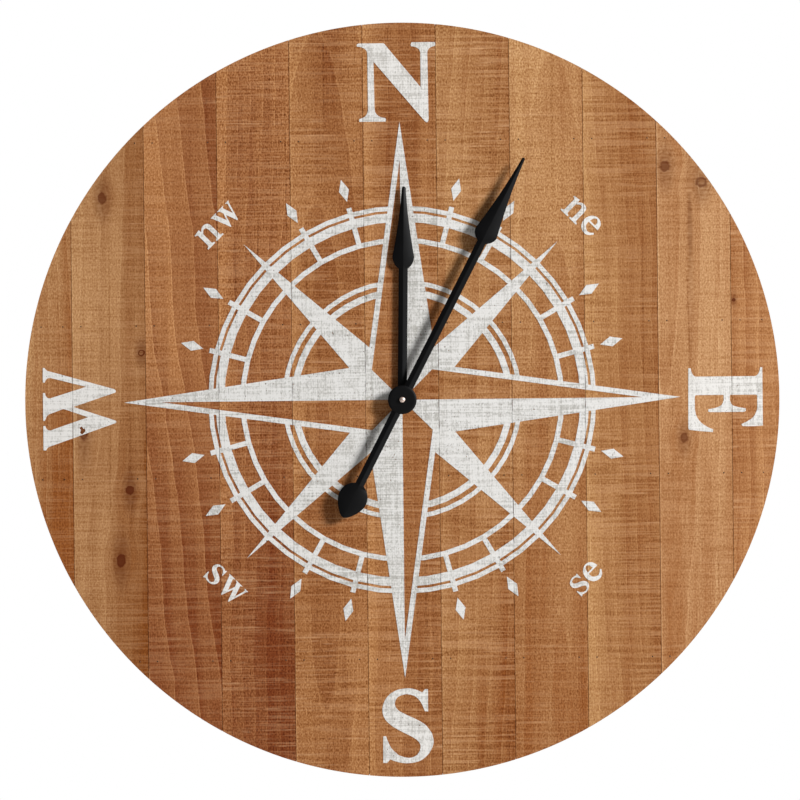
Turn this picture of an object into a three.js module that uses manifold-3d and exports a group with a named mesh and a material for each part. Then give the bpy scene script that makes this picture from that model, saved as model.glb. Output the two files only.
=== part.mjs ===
// A round wall clock: vertical planks nailed to battens, a painted compass rose, two black spade hands,
// a battery quartz movement behind the boards and a keyhole plate to hang it by.
// Millimetres, +Z up. The dial faces -Y, the wall is the plane y = 0, and the origin is where it hangs.
import * as THREE from 'three';
import { mergeVertices } from 'three/addons/utils/BufferGeometryUtils.js';
import Module from 'manifold-3d';

const wasm = await Module();
wasm.setup();

// Board of planks on battens
const DIAL_DIAMETER = 800;
const FULL_PLANKS = 9;
const EDGE_PLANK_WIDTH = 50.35;
const PLANK_JOINT = 0.4;
const PLANK_THICKNESS = 12;
const RIM_FACET = 13;
const BATTEN_HEIGHT = 45;
const BATTEN_THICKNESS = 20;
const BATTEN_INSET = 6;
const BATTEN_INNER_RISE = 81;
const BATTEN_OUTER_RISE = 275;

// Keyhole plate let into the top batten
const PLATE_WIDTH = 60;
const PLATE_HEIGHT = 24;
const PLATE_THICKNESS = 1.5;
const PLATE_CORNER = 3;
const KEYHOLE_ENTRY_RADIUS = 5.2;
const KEYHOLE_SLOT_RADIUS = 2.3;
const KEYHOLE_RISE = 9;
const KEYHOLE_ENTRY_DROP = 4;
const POCKET_MARGIN = 2.3;
const POCKET_DEPTH = 9;
const SCREW_SPACING = 44;
const SCREW_HEAD_RADIUS = 3.4;
const SCREW_SHANK_RADIUS = 1.6;
const SCREW_LENGTH = 13;
const SCREW_POINT = 2;

// Painted rose
const PAINT_THICKNESS = 0.3;
const STAR_REACH = 295;
const STAR_WAIST = 37;
const STAR_STROKE = 5.6;
const DIAGONAL_REACH = 235.5;
const DIAGONAL_HALF_WIDTH = 16.2;
const INNER_BAND_RADIUS = 110.8;
const INNER_BAND_WIDTH = 6.9;
const INNER_LINE_RADIUS = 122.5;
const INNER_LINE_WIDTH = 4.8;
const TICK_RING_RADIUS = 166.5;
const TICK_RING_WIDTH = 5.3;
const OUTER_BAND_RADIUS = 188.8;
const OUTER_BAND_WIDTH = 9.5;
const OUTER_LINE_RADIUS = 201;
const OUTER_LINE_WIDTH = 4.8;
const TICK_REACH = 211;
const TICK_WIDTH = 5.3;
const TICK_ANGLES = [15, 30, 60, 75];

// Fits and clearances
const FIT = 0.3;
const LEVEL_GAP = 0.3;
const PINION_OVERHANG = 0.2;
const WHEEL_CLEARANCE = 0.9;

// Bush, washer and nut that clamp the movement to the centre plank
const BUSH_RADIUS = 4.8;
const BUSH_WALL = 1.6;
const BUSH_FLANGE_RADIUS = 7;
const BUSH_FLANGE_THICKNESS = 1.2;
const BUSH_SPARE_THREAD = 0.8;
const GASKET_RADIUS = 14;
const GASKET_THICKNESS = 1;
const WASHER_RADIUS = 9;
const WASHER_THICKNESS = 0.8;
const NUT_ACROSS_FLATS = 14;
const NUT_THICKNESS = 2;
const NUT_SIDES = 6;

// Hands
const HAND_THICKNESS = 1.6;
const HAND_EDGE = 0.5;
const HAND_CLEARANCE = 0.8;
const HAND_SPACING = 5.4;
const HAND_SHAFT_WIDTH = 9.7;
const HAND_SHOULDER = 13;
const HAND_LOBE_LIFT = 5;
const HOUR_LENGTH = 226;
const HOUR_HEAD_LENGTH = 87;
const HOUR_HEAD_WIDTH = 23;
const HOUR_TIP_WIDTH = 4.2;
const HOUR_HUB_RADIUS = 11;
const HOUR_ANGLE = 1.0;
const MINUTE_LENGTH = 286.5;
const MINUTE_HEAD_LENGTH = 100;
const MINUTE_HEAD_WIDTH = 25;
const MINUTE_TIP_WIDTH = 3.2;
const MINUTE_BOSS_RADIUS = 15.25;
const MINUTE_BOSS_EDGE = 1.0;
const MINUTE_BOSS_HEIGHT = 2.2;
const MINUTE_BOSS_BEVEL = 3.2;
const MINUTE_ANGLE = 27.3;
const TAIL_LENGTH = 139.5;
const TAIL_WEIGHT_LENGTH = 39;
const TAIL_WEIGHT_WIDTH = 31;
const TAIL_SHOULDER = 17;
const TAIL_BELLY = 8.5;
const TAIL_NOSE = 5;
const COLLET_WALL = 1.5;
const HAND_NUT_RADIUS = 3;
const HAND_NUT_HEIGHT = 3;
const HAND_NUT_CROWN = 0.9;

// Arbors
const ARBOR_RADIUS = 0.5;
const MINUTE_WHEEL_ARBOR_RADIUS = 0.8;
const MINUTE_ARBOR_RADIUS = 1.8;
const MINUTE_THREAD_RADIUS = 1.5;
const HOUR_PIPE_WALL = 0.8;
const ARBOR_TAIL_WALL = 0.4;
const PIVOT_DEPTH = 0.7;

// Wheel train: tooth counts, and the centre distance that the rest follows
const CANNON_TEETH = 10;
const MINUTE_WHEEL_TEETH = 30;
const MINUTE_PINION_TEETH = 8;
const HOUR_WHEEL_TEETH = 32;
const CENTRE_WHEEL_TEETH = 48;
const THIRD_PINION_TEETH = 6;
const THIRD_WHEEL_TEETH = 45;
const FOURTH_PINION_TEETH = 6;
const FOURTH_WHEEL_TEETH = 30;
const INTERMEDIATE_PINION_TEETH = 6;
const INTERMEDIATE_WHEEL_TEETH = 36;
const ROTOR_PINION_TEETH = 6;
const MOTION_DISTANCE = 12;
const ROTOR_DISTANCE = 9;
const MINUTE_WHEEL_DIRECTION = 180;
const THIRD_DIRECTION = 0;
const INTERMEDIATE_DIRECTION = 100;
const ROTOR_DIRECTION = 40;
const MOTION_WHEEL_THICKNESS = 1.0;
const TRAIN_WHEEL_THICKNESS = 0.8;
const CLUTCH_THICKNESS = 0.3;
const CLUTCH_RADIUS = 4;
// Tooth form, in modules and in shares of the tooth pitch
const TOOTH = { addendum: 0.8, dedendum: 1.1, rootShare: 0.25, tipShare: 0.1 };

// Motor and electronics
const MAGNET_RADIUS = 2.6;
const MAGNET_GAP = 0.7;
const STATOR_HALF_HEIGHT = 4.5;
const STATOR_THICKNESS = 0.8;
const STATOR_LEG_WIDTH = 3;
const COIL_LENGTH = 11;
const COIL_HEIGHT = 4;
const COIL_DEPTH = 2.6;
const COIL_DROP = 11;
const CORE_HEIGHT = 1.6;
const BOARD_HEIGHT = 16;
const BOARD_THICKNESS = 0.8;
const CHIP_RADIUS = 2.5;
const CHIP_THICKNESS = 0.5;
const CRYSTAL_RADIUS = 1;
const CRYSTAL_LENGTH = 6;

// Movement case and battery
const CASE_WALL = 1.5;
const CASE_CORNER = 4;
const ROOM_MARGIN = 1.5;
const POST_SIZE = 4;
const BRIDGE_THICKNESS = 1;
const BRIDGE_GAP = 0.4;
const COVER_GAP = 0.2;
const COVER_THICKNESS = 1.5;
const KNOB_RADIUS = 5;
const KNOB_THICKNESS = 1.2;
const KNOB_GAP = 0.1;
const BATTERY_DIAMETER = 14.2;
const BATTERY_LENGTH = 49.2;
const BATTERY_NUB_RADIUS = 2.75;
const BATTERY_NUB_LENGTH = 1.3;
const BAY_CLEARANCE = 0.5;
const BATTERY_FLOOR_GAP = 0.2;
const CONTACT_ROOM = 4;
const CONTACT_THICKNESS = 0.5;
const CONTACT_WIDTH = 8;
const CONTACT_SPAN = 11;
const CONTACT_TOUCH = 3;

// Facets of round pieces
const FINE_SIDES = 32;
const ROUND_SIDES = 20;
const PIVOT_SIDES = 8;
const RING_SIDES = 48;
const CURVE_STEPS = 6;
// How far a cutting tool runs past the face it opens
const CUT_THROUGH = 1;
const MERGE_TOLERANCE = 1e-5;

const DEGREE = Math.PI / 180;

// Places along Y, from the wall plane to the front
const BOARD_BACK = -BATTEN_THICKNESS;
const DIAL_FRONT = BOARD_BACK - PLANK_THICKNESS;
const WASHER_FRONT = DIAL_FRONT - WASHER_THICKNESS;
const NUT_FRONT = WASHER_FRONT - NUT_THICKNESS;
const BUSH_FRONT = NUT_FRONT - BUSH_SPARE_THREAD;
const HOUR_HAND_BACK = BUSH_FRONT - HAND_CLEARANCE;
const HOUR_HAND_FRONT = HOUR_HAND_BACK - HAND_THICKNESS;
const HOUR_PIPE_FRONT = HOUR_HAND_FRONT - HAND_CLEARANCE / 2;
const MINUTE_HAND_BACK = HOUR_HAND_FRONT - HAND_SPACING;
const MINUTE_BOSS_FRONT = MINUTE_HAND_BACK - MINUTE_BOSS_HEIGHT;
const COLLET_BACK = HOUR_PIPE_FRONT - HAND_CLEARANCE;
const HAND_NUT_FRONT = MINUTE_BOSS_FRONT - HAND_NUT_HEIGHT;
const CASE_FRONT = BOARD_BACK + GASKET_THICKNESS;
const CASE_FLOOR = CASE_FRONT + CASE_WALL;

// Levels of the train, rearwards from the inner floor of the case
const FLANGE_BACK = CASE_FLOOR + BUSH_FLANGE_THICKNESS;
const MINUTE_PINION_FRONT = FLANGE_BACK + LEVEL_GAP;
const HOUR_WHEEL_FRONT = MINUTE_PINION_FRONT + PINION_OVERHANG;
const HOUR_WHEEL_BACK = HOUR_WHEEL_FRONT + MOTION_WHEEL_THICKNESS;
const CANNON_FRONT = HOUR_WHEEL_BACK + LEVEL_GAP;
const MINUTE_WHEEL_FRONT = CANNON_FRONT + PINION_OVERHANG;
const MINUTE_WHEEL_BACK = MINUTE_WHEEL_FRONT + MOTION_WHEEL_THICKNESS;
const CANNON_BACK = MINUTE_WHEEL_BACK + PINION_OVERHANG;
const CENTRE_WHEEL_FRONT = CANNON_BACK + CLUTCH_THICKNESS;
const CENTRE_WHEEL_BACK = CENTRE_WHEEL_FRONT + TRAIN_WHEEL_THICKNESS;
const MINUTE_ARBOR_BACK = CENTRE_WHEEL_BACK + PINION_OVERHANG;
const FOURTH_PINION_FRONT = MINUTE_ARBOR_BACK + LEVEL_GAP;
const THIRD_WHEEL_FRONT = FOURTH_PINION_FRONT + PINION_OVERHANG;
const THIRD_WHEEL_BACK = THIRD_WHEEL_FRONT + TRAIN_WHEEL_THICKNESS;
const INTERMEDIATE_PINION_FRONT = THIRD_WHEEL_BACK + LEVEL_GAP;
const FOURTH_WHEEL_FRONT = INTERMEDIATE_PINION_FRONT + PINION_OVERHANG;
const FOURTH_WHEEL_BACK = FOURTH_WHEEL_FRONT + TRAIN_WHEEL_THICKNESS;
const ROTOR_PINION_FRONT = FOURTH_WHEEL_BACK + LEVEL_GAP;
const INTERMEDIATE_WHEEL_FRONT = ROTOR_PINION_FRONT + PINION_OVERHANG;
const INTERMEDIATE_WHEEL_BACK = INTERMEDIATE_WHEEL_FRONT + TRAIN_WHEEL_THICKNESS;
const CORE_FRONT = INTERMEDIATE_WHEEL_BACK + LEVEL_GAP;
const STATOR_FRONT = CORE_FRONT + STATOR_THICKNESS;
const STATOR_BACK = STATOR_FRONT + STATOR_THICKNESS;
const BRIDGE_FRONT = STATOR_BACK + BRIDGE_GAP;
const BRIDGE_BACK = BRIDGE_FRONT + BRIDGE_THICKNESS;
const BOARD_REAR = BRIDGE_BACK + BOARD_THICKNESS;
const COVER_FRONT = BOARD_REAR + CHIP_THICKNESS + COVER_GAP;
const COVER_BACK = COVER_FRONT + COVER_THICKNESS;
const KNOB_FRONT = COVER_BACK + KNOB_GAP;
const KNOB_BACK = KNOB_FRONT + KNOB_THICKNESS;
const PIVOT_FRONT = CASE_FLOOR - PIVOT_DEPTH;
const PIVOT_BACK = BRIDGE_BACK - LEVEL_GAP;

// Centre distances and axes of the train, as points (x, z) from the clock's centre
const moduleFor = (distance, teethA, teethB) => (2 * distance) / (teethA + teethB);
const tipRadius = (teeth, module) => (teeth / 2 + TOOTH.addendum) * module;
const polar = (radius, degrees) =>
  new THREE.Vector2(radius * Math.cos(degrees * DEGREE), radius * Math.sin(degrees * DEGREE));

const CANNON_MODULE = moduleFor(MOTION_DISTANCE, CANNON_TEETH, MINUTE_WHEEL_TEETH);
const HOUR_MODULE = moduleFor(MOTION_DISTANCE, MINUTE_PINION_TEETH, HOUR_WHEEL_TEETH);
const THIRD_DISTANCE = tipRadius(HOUR_WHEEL_TEETH, HOUR_MODULE) + ARBOR_RADIUS + WHEEL_CLEARANCE;
const CENTRE_MODULE = moduleFor(THIRD_DISTANCE, CENTRE_WHEEL_TEETH, THIRD_PINION_TEETH);
const THIRD_MODULE = moduleFor(THIRD_DISTANCE, THIRD_WHEEL_TEETH, FOURTH_PINION_TEETH);
const CENTRE_TIP = tipRadius(CENTRE_WHEEL_TEETH, CENTRE_MODULE);
const INTERMEDIATE_DISTANCE = CENTRE_TIP + ARBOR_RADIUS + WHEEL_CLEARANCE;
const FOURTH_MODULE = moduleFor(INTERMEDIATE_DISTANCE, FOURTH_WHEEL_TEETH, INTERMEDIATE_PINION_TEETH);
const ROTOR_MODULE = moduleFor(ROTOR_DISTANCE, INTERMEDIATE_WHEEL_TEETH, ROTOR_PINION_TEETH);
const CENTRE = new THREE.Vector2(0, 0);
const MINUTE_WHEEL_AXIS = polar(MOTION_DISTANCE, MINUTE_WHEEL_DIRECTION);
const THIRD_AXIS = polar(THIRD_DISTANCE, THIRD_DIRECTION);
const INTERMEDIATE_AXIS = polar(INTERMEDIATE_DISTANCE, INTERMEDIATE_DIRECTION);
const ROTOR_AXIS = INTERMEDIATE_AXIS.clone().add(polar(ROTOR_DISTANCE, ROTOR_DIRECTION));

// Motor: the stator's arm carries the coil below and beside the rotor
const STATOR_HOLE_RADIUS = MAGNET_RADIUS + MAGNET_GAP;
const STATOR_LEFT = ROTOR_AXIS.x - STATOR_HALF_HEIGHT;
const LEG_LEFT = ROTOR_AXIS.x + ARBOR_RADIUS + POST_SIZE / 2;
const COIL_LEFT = LEG_LEFT + STATOR_LEG_WIDTH + FIT;
const COIL_RIGHT = COIL_LEFT + COIL_LENGTH;
const STATOR_RIGHT = COIL_RIGHT + FIT + STATOR_LEG_WIDTH;
const COIL_Z = ROTOR_AXIS.y - COIL_DROP;
const COIL_X = (COIL_LEFT + COIL_RIGHT) / 2;
const CORE_MID = CORE_FRONT + STATOR_THICKNESS / 2;
const CRYSTAL_Z = COIL_Z + COIL_HEIGHT / 2 + CRYSTAL_RADIUS + WHEEL_CLEARANCE;

// Room for the train and bay for the battery
const LARGEST_TIP = Math.max(
  CENTRE_TIP,
  tipRadius(THIRD_WHEEL_TEETH, THIRD_MODULE),
  tipRadius(FOURTH_WHEEL_TEETH, FOURTH_MODULE),
);
const BATTERY_TOTAL = BATTERY_LENGTH + BATTERY_NUB_LENGTH;
const ROOM_HALF_WIDTH = Math.max(
  BATTERY_TOTAL / 2 + CONTACT_ROOM,
  MOTION_DISTANCE + LARGEST_TIP + ROOM_MARGIN,
  STATOR_RIGHT + POST_SIZE + FIT,
);
const ROOM_TOP = ROTOR_AXIS.y + STATOR_HALF_HEIGHT + ROOM_MARGIN;
const ROOM_BOTTOM = -LARGEST_TIP - ROOM_MARGIN;
const BAY_TOP = ROOM_BOTTOM - CASE_WALL;
const BAY_BOTTOM = BAY_TOP - BATTERY_DIAMETER - 2 * BAY_CLEARANCE;
const BATTERY_Z = (BAY_TOP + BAY_BOTTOM) / 2;
const BATTERY_Y = CASE_FLOOR + BATTERY_FLOOR_GAP + BATTERY_DIAMETER / 2;
const CASE_HALF_WIDTH = ROOM_HALF_WIDTH + CASE_WALL;

const DIAL_RADIUS = DIAL_DIAMETER / 2;
const PLANK_PITCH = (DIAL_DIAMETER - 2 * EDGE_PLANK_WIDTH) / FULL_PLANKS;
const HOUR_PIPE_BORE = MINUTE_ARBOR_RADIUS + FIT;
const HOUR_PIPE_RADIUS = HOUR_PIPE_BORE + HOUR_PIPE_WALL;
const BUSH_HOLE = BUSH_RADIUS + FIT;
const ARBOR_TAIL_BORE = ARBOR_RADIUS + FIT;
const ARBOR_TAIL_RADIUS = ARBOR_TAIL_BORE + ARBOR_TAIL_WALL;
const HANG_HEIGHT = BATTEN_OUTER_RISE + KEYHOLE_RISE - KEYHOLE_ENTRY_DROP;

// Finishes
const PLANK_COLOURS = [
  0xa06d48, 0x9f704a, 0x99643e, 0x965f3e, 0x9e6a45, 0xa26e4a,
  0xa8764d, 0xad7c54, 0xac764c, 0xb9885e, 0xb67f54,
];
const finish = (color, roughness, metalness) =>
  new THREE.MeshStandardMaterial({ color, roughness, metalness });
const BATTEN_WOOD = finish(0xa98a63, 0.8, 0);
const PAINT = finish(0xdedcd6, 0.75, 0);
const BLACK_METAL = finish(0x141414, 0.45, 0.4);
const BRIGHT_METAL = finish(0xc9b8ae, 0.3, 0.9);
const STEEL = finish(0xb4b6b8, 0.35, 0.9);
const BRASS = finish(0xb99a52, 0.35, 0.9);
const COPPER = finish(0xa8603a, 0.4, 0.8);
const RUBBER = finish(0x202020, 0.9, 0);
const BLACK_PLASTIC = finish(0x1c1c1e, 0.6, 0);
const WHITE_PLASTIC = finish(0xe4e2da, 0.5, 0);
const GREEN_BOARD = finish(0x2d5a3a, 0.6, 0);
const MAGNET_GREY = finish(0x4a4a4c, 0.5, 0.3);
const CELL_JACKET = finish(0x3d4a55, 0.4, 0.2);

// Solids are joined and cut as closed meshes with shared corners
function solid(geometry) {
  const bare = geometry.clone();
  bare.deleteAttribute('normal');
  bare.deleteAttribute('uv');
  const merged = mergeVertices(bare, MERGE_TOLERANCE);
  const corners = merged.index.array;
  const triangles = [];
  for (let i = 0; i < corners.length; i += 3) {
    const [a, b, c] = [corners[i], corners[i + 1], corners[i + 2]];
    if (a !== b && b !== c && c !== a) triangles.push(a, b, c);
  }
  return new wasm.Manifold(
    new wasm.Mesh({
      numProp: 3,
      vertProperties: merged.attributes.position.array,
      triVerts: new Uint32Array(triangles),
    }),
  );
}

function geometryOf(manifold) {
  const mesh = manifold.getMesh();
  const geometry = new THREE.BufferGeometry();
  geometry.setAttribute('position', new THREE.Float32BufferAttribute(mesh.vertProperties, mesh.numProp));
  geometry.setIndex(Array.from(mesh.triVerts));
  geometry.computeVertexNormals();
  return geometry;
}

const join = (...parts) => geometryOf(parts.map(solid).reduce((whole, part) => whole.add(part)));
const cut = (base, ...tools) =>
  geometryOf(tools.map(solid).reduce((whole, tool) => whole.subtract(tool), solid(base)));
const common = (a, b) => geometryOf(solid(a).intersect(solid(b)));

// An outline in (x, z) made solid between two planes square to Y
function slab(shape, front, back, curveSegments = CURVE_STEPS) {
  const options = { depth: back - front, bevelEnabled: false, curveSegments };
  const geometry = new THREE.ExtrudeGeometry(shape, options);
  geometry.rotateX(Math.PI / 2);
  geometry.translate(0, back, 0);
  return geometry;
}

// A profile of (radius, y) points turned about Y; it climbs in y on its outside
function turned(profile, sides = ROUND_SIDES) {
  return new THREE.LatheGeometry(
    profile.map(([radius, y]) => new THREE.Vector2(radius, y)),
    sides,
  );
}

const rod = (radius, front, back, sides) =>
  turned([[0, front], [radius, front], [radius, back], [0, back]], sides);
const tube = (bore, radius, front, back, sides) =>
  turned([[bore, front], [radius, front], [radius, back], [bore, back], [bore, front]], sides);
const moved = (geometry, axis) => geometry.translate(axis.x, 0, axis.y);

function rectangle(left, bottom, right, top) {
  const shape = new THREE.Shape();
  shape.moveTo(left, bottom);
  shape.lineTo(right, bottom);
  shape.lineTo(right, top);
  shape.lineTo(left, top);
  return shape;
}

function roundedRectangle(left, bottom, right, top, corner) {
  const shape = new THREE.Shape();
  shape.absarc(right - corner, bottom + corner, corner, -Math.PI / 2, 0, false);
  shape.absarc(right - corner, top - corner, corner, 0, Math.PI / 2, false);
  shape.absarc(left + corner, top - corner, corner, Math.PI / 2, Math.PI, false);
  shape.absarc(left + corner, bottom + corner, corner, Math.PI, 1.5 * Math.PI, false);
  return shape;
}

const polygon = (points) => new THREE.Shape(points.map(([x, z]) => new THREE.Vector2(x, z)));

const dial = new THREE.Group();
dial.position.z = -HANG_HEIGHT;

function addPiece(name, geometry, material, parent = dial) {
  const mesh = new THREE.Mesh(geometry, material);
  mesh.name = name;
  parent.add(mesh);
}

// The part of the round board between two upright lines
function plankShape(left, right, radius) {
  const shape = new THREE.Shape();
  const leftAngle = Math.acos(Math.max(left / radius, -1));
  const rightAngle = Math.acos(Math.min(right / radius, 1));
  if (left <= -radius) {
    shape.absarc(0, 0, radius, rightAngle, 2 * Math.PI - rightAngle, false);
  } else if (right >= radius) {
    shape.absarc(0, 0, radius, -leftAngle, leftAngle, false);
  } else {
    shape.absarc(0, 0, radius, -leftAngle, -rightAngle, false);
    shape.absarc(0, 0, radius, rightAngle, leftAngle, false);
  }
  return shape;
}

function addPlanks() {
  const sidePlanks = (FULL_PLANKS + 1) / 2;
  for (let k = -sidePlanks; k <= sidePlanks; k += 1) {
    const left = k === -sidePlanks ? -DIAL_RADIUS : (k - 0.5) * PLANK_PITCH + PLANK_JOINT / 2;
    const right = k === sidePlanks ? DIAL_RADIUS : (k + 0.5) * PLANK_PITCH - PLANK_JOINT / 2;
    const shape = plankShape(left, right, DIAL_RADIUS);
    if (k === 0) shape.holes.push(new THREE.Path().absarc(0, 0, BUSH_HOLE, 0, 2 * Math.PI, true));
    const longestArc = Math.abs(k) === sidePlanks ? DIAL_RADIUS : PLANK_PITCH;
    const index = k + sidePlanks;
    const number = String(index + 1).padStart(2, '0');
    const colour = PLANK_COLOURS[index % PLANK_COLOURS.length];
    const steps = Math.ceil(longestArc / RIM_FACET);
    addPiece(`plank_${number}`, slab(shape, DIAL_FRONT, BOARD_BACK, steps), finish(colour, 0.7, 0));
  }
}

// A batten follows the rim at both ends, a little inside it
function battenShape(rise) {
  const radius = DIAL_RADIUS - BATTEN_INSET;
  const upper = Math.asin((rise + BATTEN_HEIGHT / 2) / radius);
  const lower = Math.asin((rise - BATTEN_HEIGHT / 2) / radius);
  const shape = new THREE.Shape();
  shape.absarc(0, 0, radius, lower, upper, false);
  shape.absarc(0, 0, radius, Math.PI - upper, Math.PI - lower, false);
  return shape;
}

function keyholeOutline(margin) {
  const entry = -KEYHOLE_ENTRY_DROP;
  const top = KEYHOLE_RISE - KEYHOLE_ENTRY_DROP;
  const entryRadius = KEYHOLE_ENTRY_RADIUS + margin;
  const slotRadius = Math.min(KEYHOLE_SLOT_RADIUS + margin, entryRadius);
  const side = Math.acos(slotRadius / entryRadius);
  const outline = new THREE.Shape();
  outline.absarc(0, top, slotRadius, 0, Math.PI, false);
  outline.absarc(0, entry, entryRadius, Math.PI - side, 2 * Math.PI + side, false);
  return outline;
}

function addBattens() {
  const rises = {
    batten_top: BATTEN_OUTER_RISE,
    batten_upper: BATTEN_INNER_RISE,
    batten_lower: -BATTEN_INNER_RISE,
    batten_bottom: -BATTEN_OUTER_RISE,
  };
  for (const [name, rise] of Object.entries(rises)) {
    const bar = slab(battenShape(rise), BOARD_BACK, 0);
    addPiece(name, name === 'batten_top' ? cutForHanger(bar) : bar, BATTEN_WOOD);
  }
}

const raised = (geometry) => geometry.translate(0, 0, BATTEN_OUTER_RISE);

// The top batten is let in for the plate and hollowed behind the keyhole for a screw's head
function cutForHanger(bar) {
  const [halfWidth, halfHeight] = [PLATE_WIDTH / 2 + FIT, PLATE_HEIGHT / 2 + FIT];
  const recess = roundedRectangle(-halfWidth, -halfHeight, halfWidth, halfHeight, PLATE_CORNER + FIT);
  const pocketBottom = -PLATE_THICKNESS - POCKET_DEPTH;
  const tools = [
    slab(recess, -PLATE_THICKNESS, CUT_THROUGH),
    slab(keyholeOutline(POCKET_MARGIN), pocketBottom, CUT_THROUGH),
  ];
  for (const side of [-1, 1]) {
    const pilot = rod(SCREW_SHANK_RADIUS + FIT, -SCREW_LENGTH - FIT, CUT_THROUGH, PIVOT_SIDES);
    tools.push(pilot.translate((side * SCREW_SPACING) / 2, 0, 0));
  }
  return cut(bar, ...tools.map(raised));
}

function addHanger() {
  const [halfWidth, halfHeight] = [PLATE_WIDTH / 2, PLATE_HEIGHT / 2];
  const outline = roundedRectangle(-halfWidth, -halfHeight, halfWidth, halfHeight, PLATE_CORNER);
  outline.holes.push(keyholeOutline(0));
  const blank = slab(outline, -PLATE_THICKNESS, 0);
  const sinks = [-1, 1].map((side) => {
    const [mouth, neck] = [SCREW_HEAD_RADIUS + FIT, SCREW_SHANK_RADIUS + FIT];
    const slope = (mouth - neck) / PLATE_THICKNESS;
    const sink = turned([
      [0, -PLATE_THICKNESS - CUT_THROUGH],
      [neck, -PLATE_THICKNESS - CUT_THROUGH],
      [neck, -PLATE_THICKNESS],
      [mouth + slope * CUT_THROUGH, CUT_THROUGH],
      [0, CUT_THROUGH],
    ]);
    return sink.translate((side * SCREW_SPACING) / 2, 0, 0);
  });
  addPiece('hanger_plate', raised(cut(blank, ...sinks)), STEEL);
  for (const [name, side] of [['hanger_screw_left', -1], ['hanger_screw_right', 1]]) {
    const screw = turned([
      [0, -SCREW_LENGTH],
      [SCREW_SHANK_RADIUS, SCREW_POINT - SCREW_LENGTH],
      [SCREW_SHANK_RADIUS, -PLATE_THICKNESS],
      [SCREW_HEAD_RADIUS, 0],
      [0, 0],
    ]);
    addPiece(name, raised(screw.translate((side * SCREW_SPACING) / 2, 0, 0)), STEEL);
  }
}

// Painted rose: rings, ticks and points in one coat; half of each main point is bare inside its outline
function addRose() {
  const [front, back] = [DIAL_FRONT - PAINT_THICKNESS, DIAL_FRONT];
  const deep = [front - CUT_THROUGH, back + CUT_THROUGH];
  const quarters = [0, 90, 180, 270];
  const aimed = (geometry, degrees) => geometry.rotateY(degrees * DEGREE);
  const rings = [
    [INNER_BAND_RADIUS, INNER_BAND_WIDTH],
    [INNER_LINE_RADIUS, INNER_LINE_WIDTH],
    [TICK_RING_RADIUS, TICK_RING_WIDTH],
    [OUTER_BAND_RADIUS, OUTER_BAND_WIDTH],
    [OUTER_LINE_RADIUS, OUTER_LINE_WIDTH],
  ].map(([inner, width]) => tube(inner, inner + width, front, back, RING_SIDES));
  const kite = polygon([[0, 0], [STAR_WAIST, STAR_WAIST], [0, STAR_REACH], [-STAR_WAIST, STAR_WAIST]]);
  const edgeLength = Math.hypot(STAR_WAIST, STAR_REACH - STAR_WAIST);
  const strokeLift = (STAR_STROKE * edgeLength) / STAR_WAIST;
  const bareWaist = STAR_WAIST * (1 - strokeLift / STAR_REACH);
  const bareHalf = polygon([[0, 0], [0, STAR_REACH - strokeLift], [-bareWaist, bareWaist]]);
  const diagonalStart = Math.hypot(STAR_WAIST, STAR_WAIST);
  const diagonal = polygon([
    [-DIAGONAL_HALF_WIDTH, diagonalStart],
    [DIAGONAL_HALF_WIDTH, diagonalStart],
    [0, DIAGONAL_REACH],
  ]);
  const tick = rectangle(-TICK_WIDTH / 2, TICK_RING_RADIUS, TICK_WIDTH / 2, TICK_REACH);
  const marks = quarters.flatMap((turn) => [
    aimed(slab(kite, front, back), turn),
    aimed(slab(diagonal, front, back), turn + 45),
    ...TICK_ANGLES.map((angle) => aimed(slab(tick, front, back), turn + angle)),
  ]);
  const bares = quarters.map((turn) => aimed(slab(bareHalf, ...deep), turn));
  const clearing = rod(WASHER_RADIUS + FIT, ...deep);
  addPiece('compass_rose', cut(join(...rings, ...marks), ...bares, clearing), PAINT);
}

// A spade blade pointing up, from the clock's centre to its tip
function bladeShape(length, headLength, headWidth, tipWidth) {
  const [shaft, tip, widest] = [HAND_SHAFT_WIDTH / 2, tipWidth / 2, headWidth / 2];
  const neck = length - headLength;
  const lobe = neck + HAND_LOBE_LIFT;
  const shoulder = neck + HAND_SHOULDER;
  const taper = (shoulder + length) / 2;
  const waist = tip + (widest - tip) / 3;
  const shape = new THREE.Shape();
  shape.moveTo(-shaft, 0);
  shape.lineTo(shaft, 0);
  shape.lineTo(shaft, neck);
  shape.quadraticCurveTo(widest, lobe, widest, shoulder);
  shape.quadraticCurveTo(waist, taper, tip, length - tip);
  shape.absarc(0, length - tip, tip, 0, Math.PI, false);
  shape.quadraticCurveTo(-waist, taper, -widest, shoulder);
  shape.quadraticCurveTo(-widest, lobe, -shaft, neck);
  return shape;
}

// The minute hand's tail, pointing down, ends in a weight with round shoulders and a blunt nose
function tailShape() {
  const [shaft, widest] = [HAND_SHAFT_WIDTH / 2, TAIL_WEIGHT_WIDTH / 2];
  const neck = TAIL_WEIGHT_LENGTH - TAIL_LENGTH;
  const lobe = neck - HAND_LOBE_LIFT;
  const shoulder = neck - TAIL_SHOULDER;
  const belly = shoulder - TAIL_BELLY;
  const shape = new THREE.Shape();
  shape.moveTo(shaft, 0);
  shape.lineTo(-shaft, 0);
  shape.lineTo(-shaft, neck);
  shape.quadraticCurveTo(-widest, lobe, -widest, shoulder);
  shape.bezierCurveTo(-widest, belly, -TAIL_NOSE, -TAIL_LENGTH, 0, -TAIL_LENGTH);
  shape.bezierCurveTo(TAIL_NOSE, -TAIL_LENGTH, widest, belly, widest, shoulder);
  shape.quadraticCurveTo(widest, lobe, shaft, neck);
  return shape;
}

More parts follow.
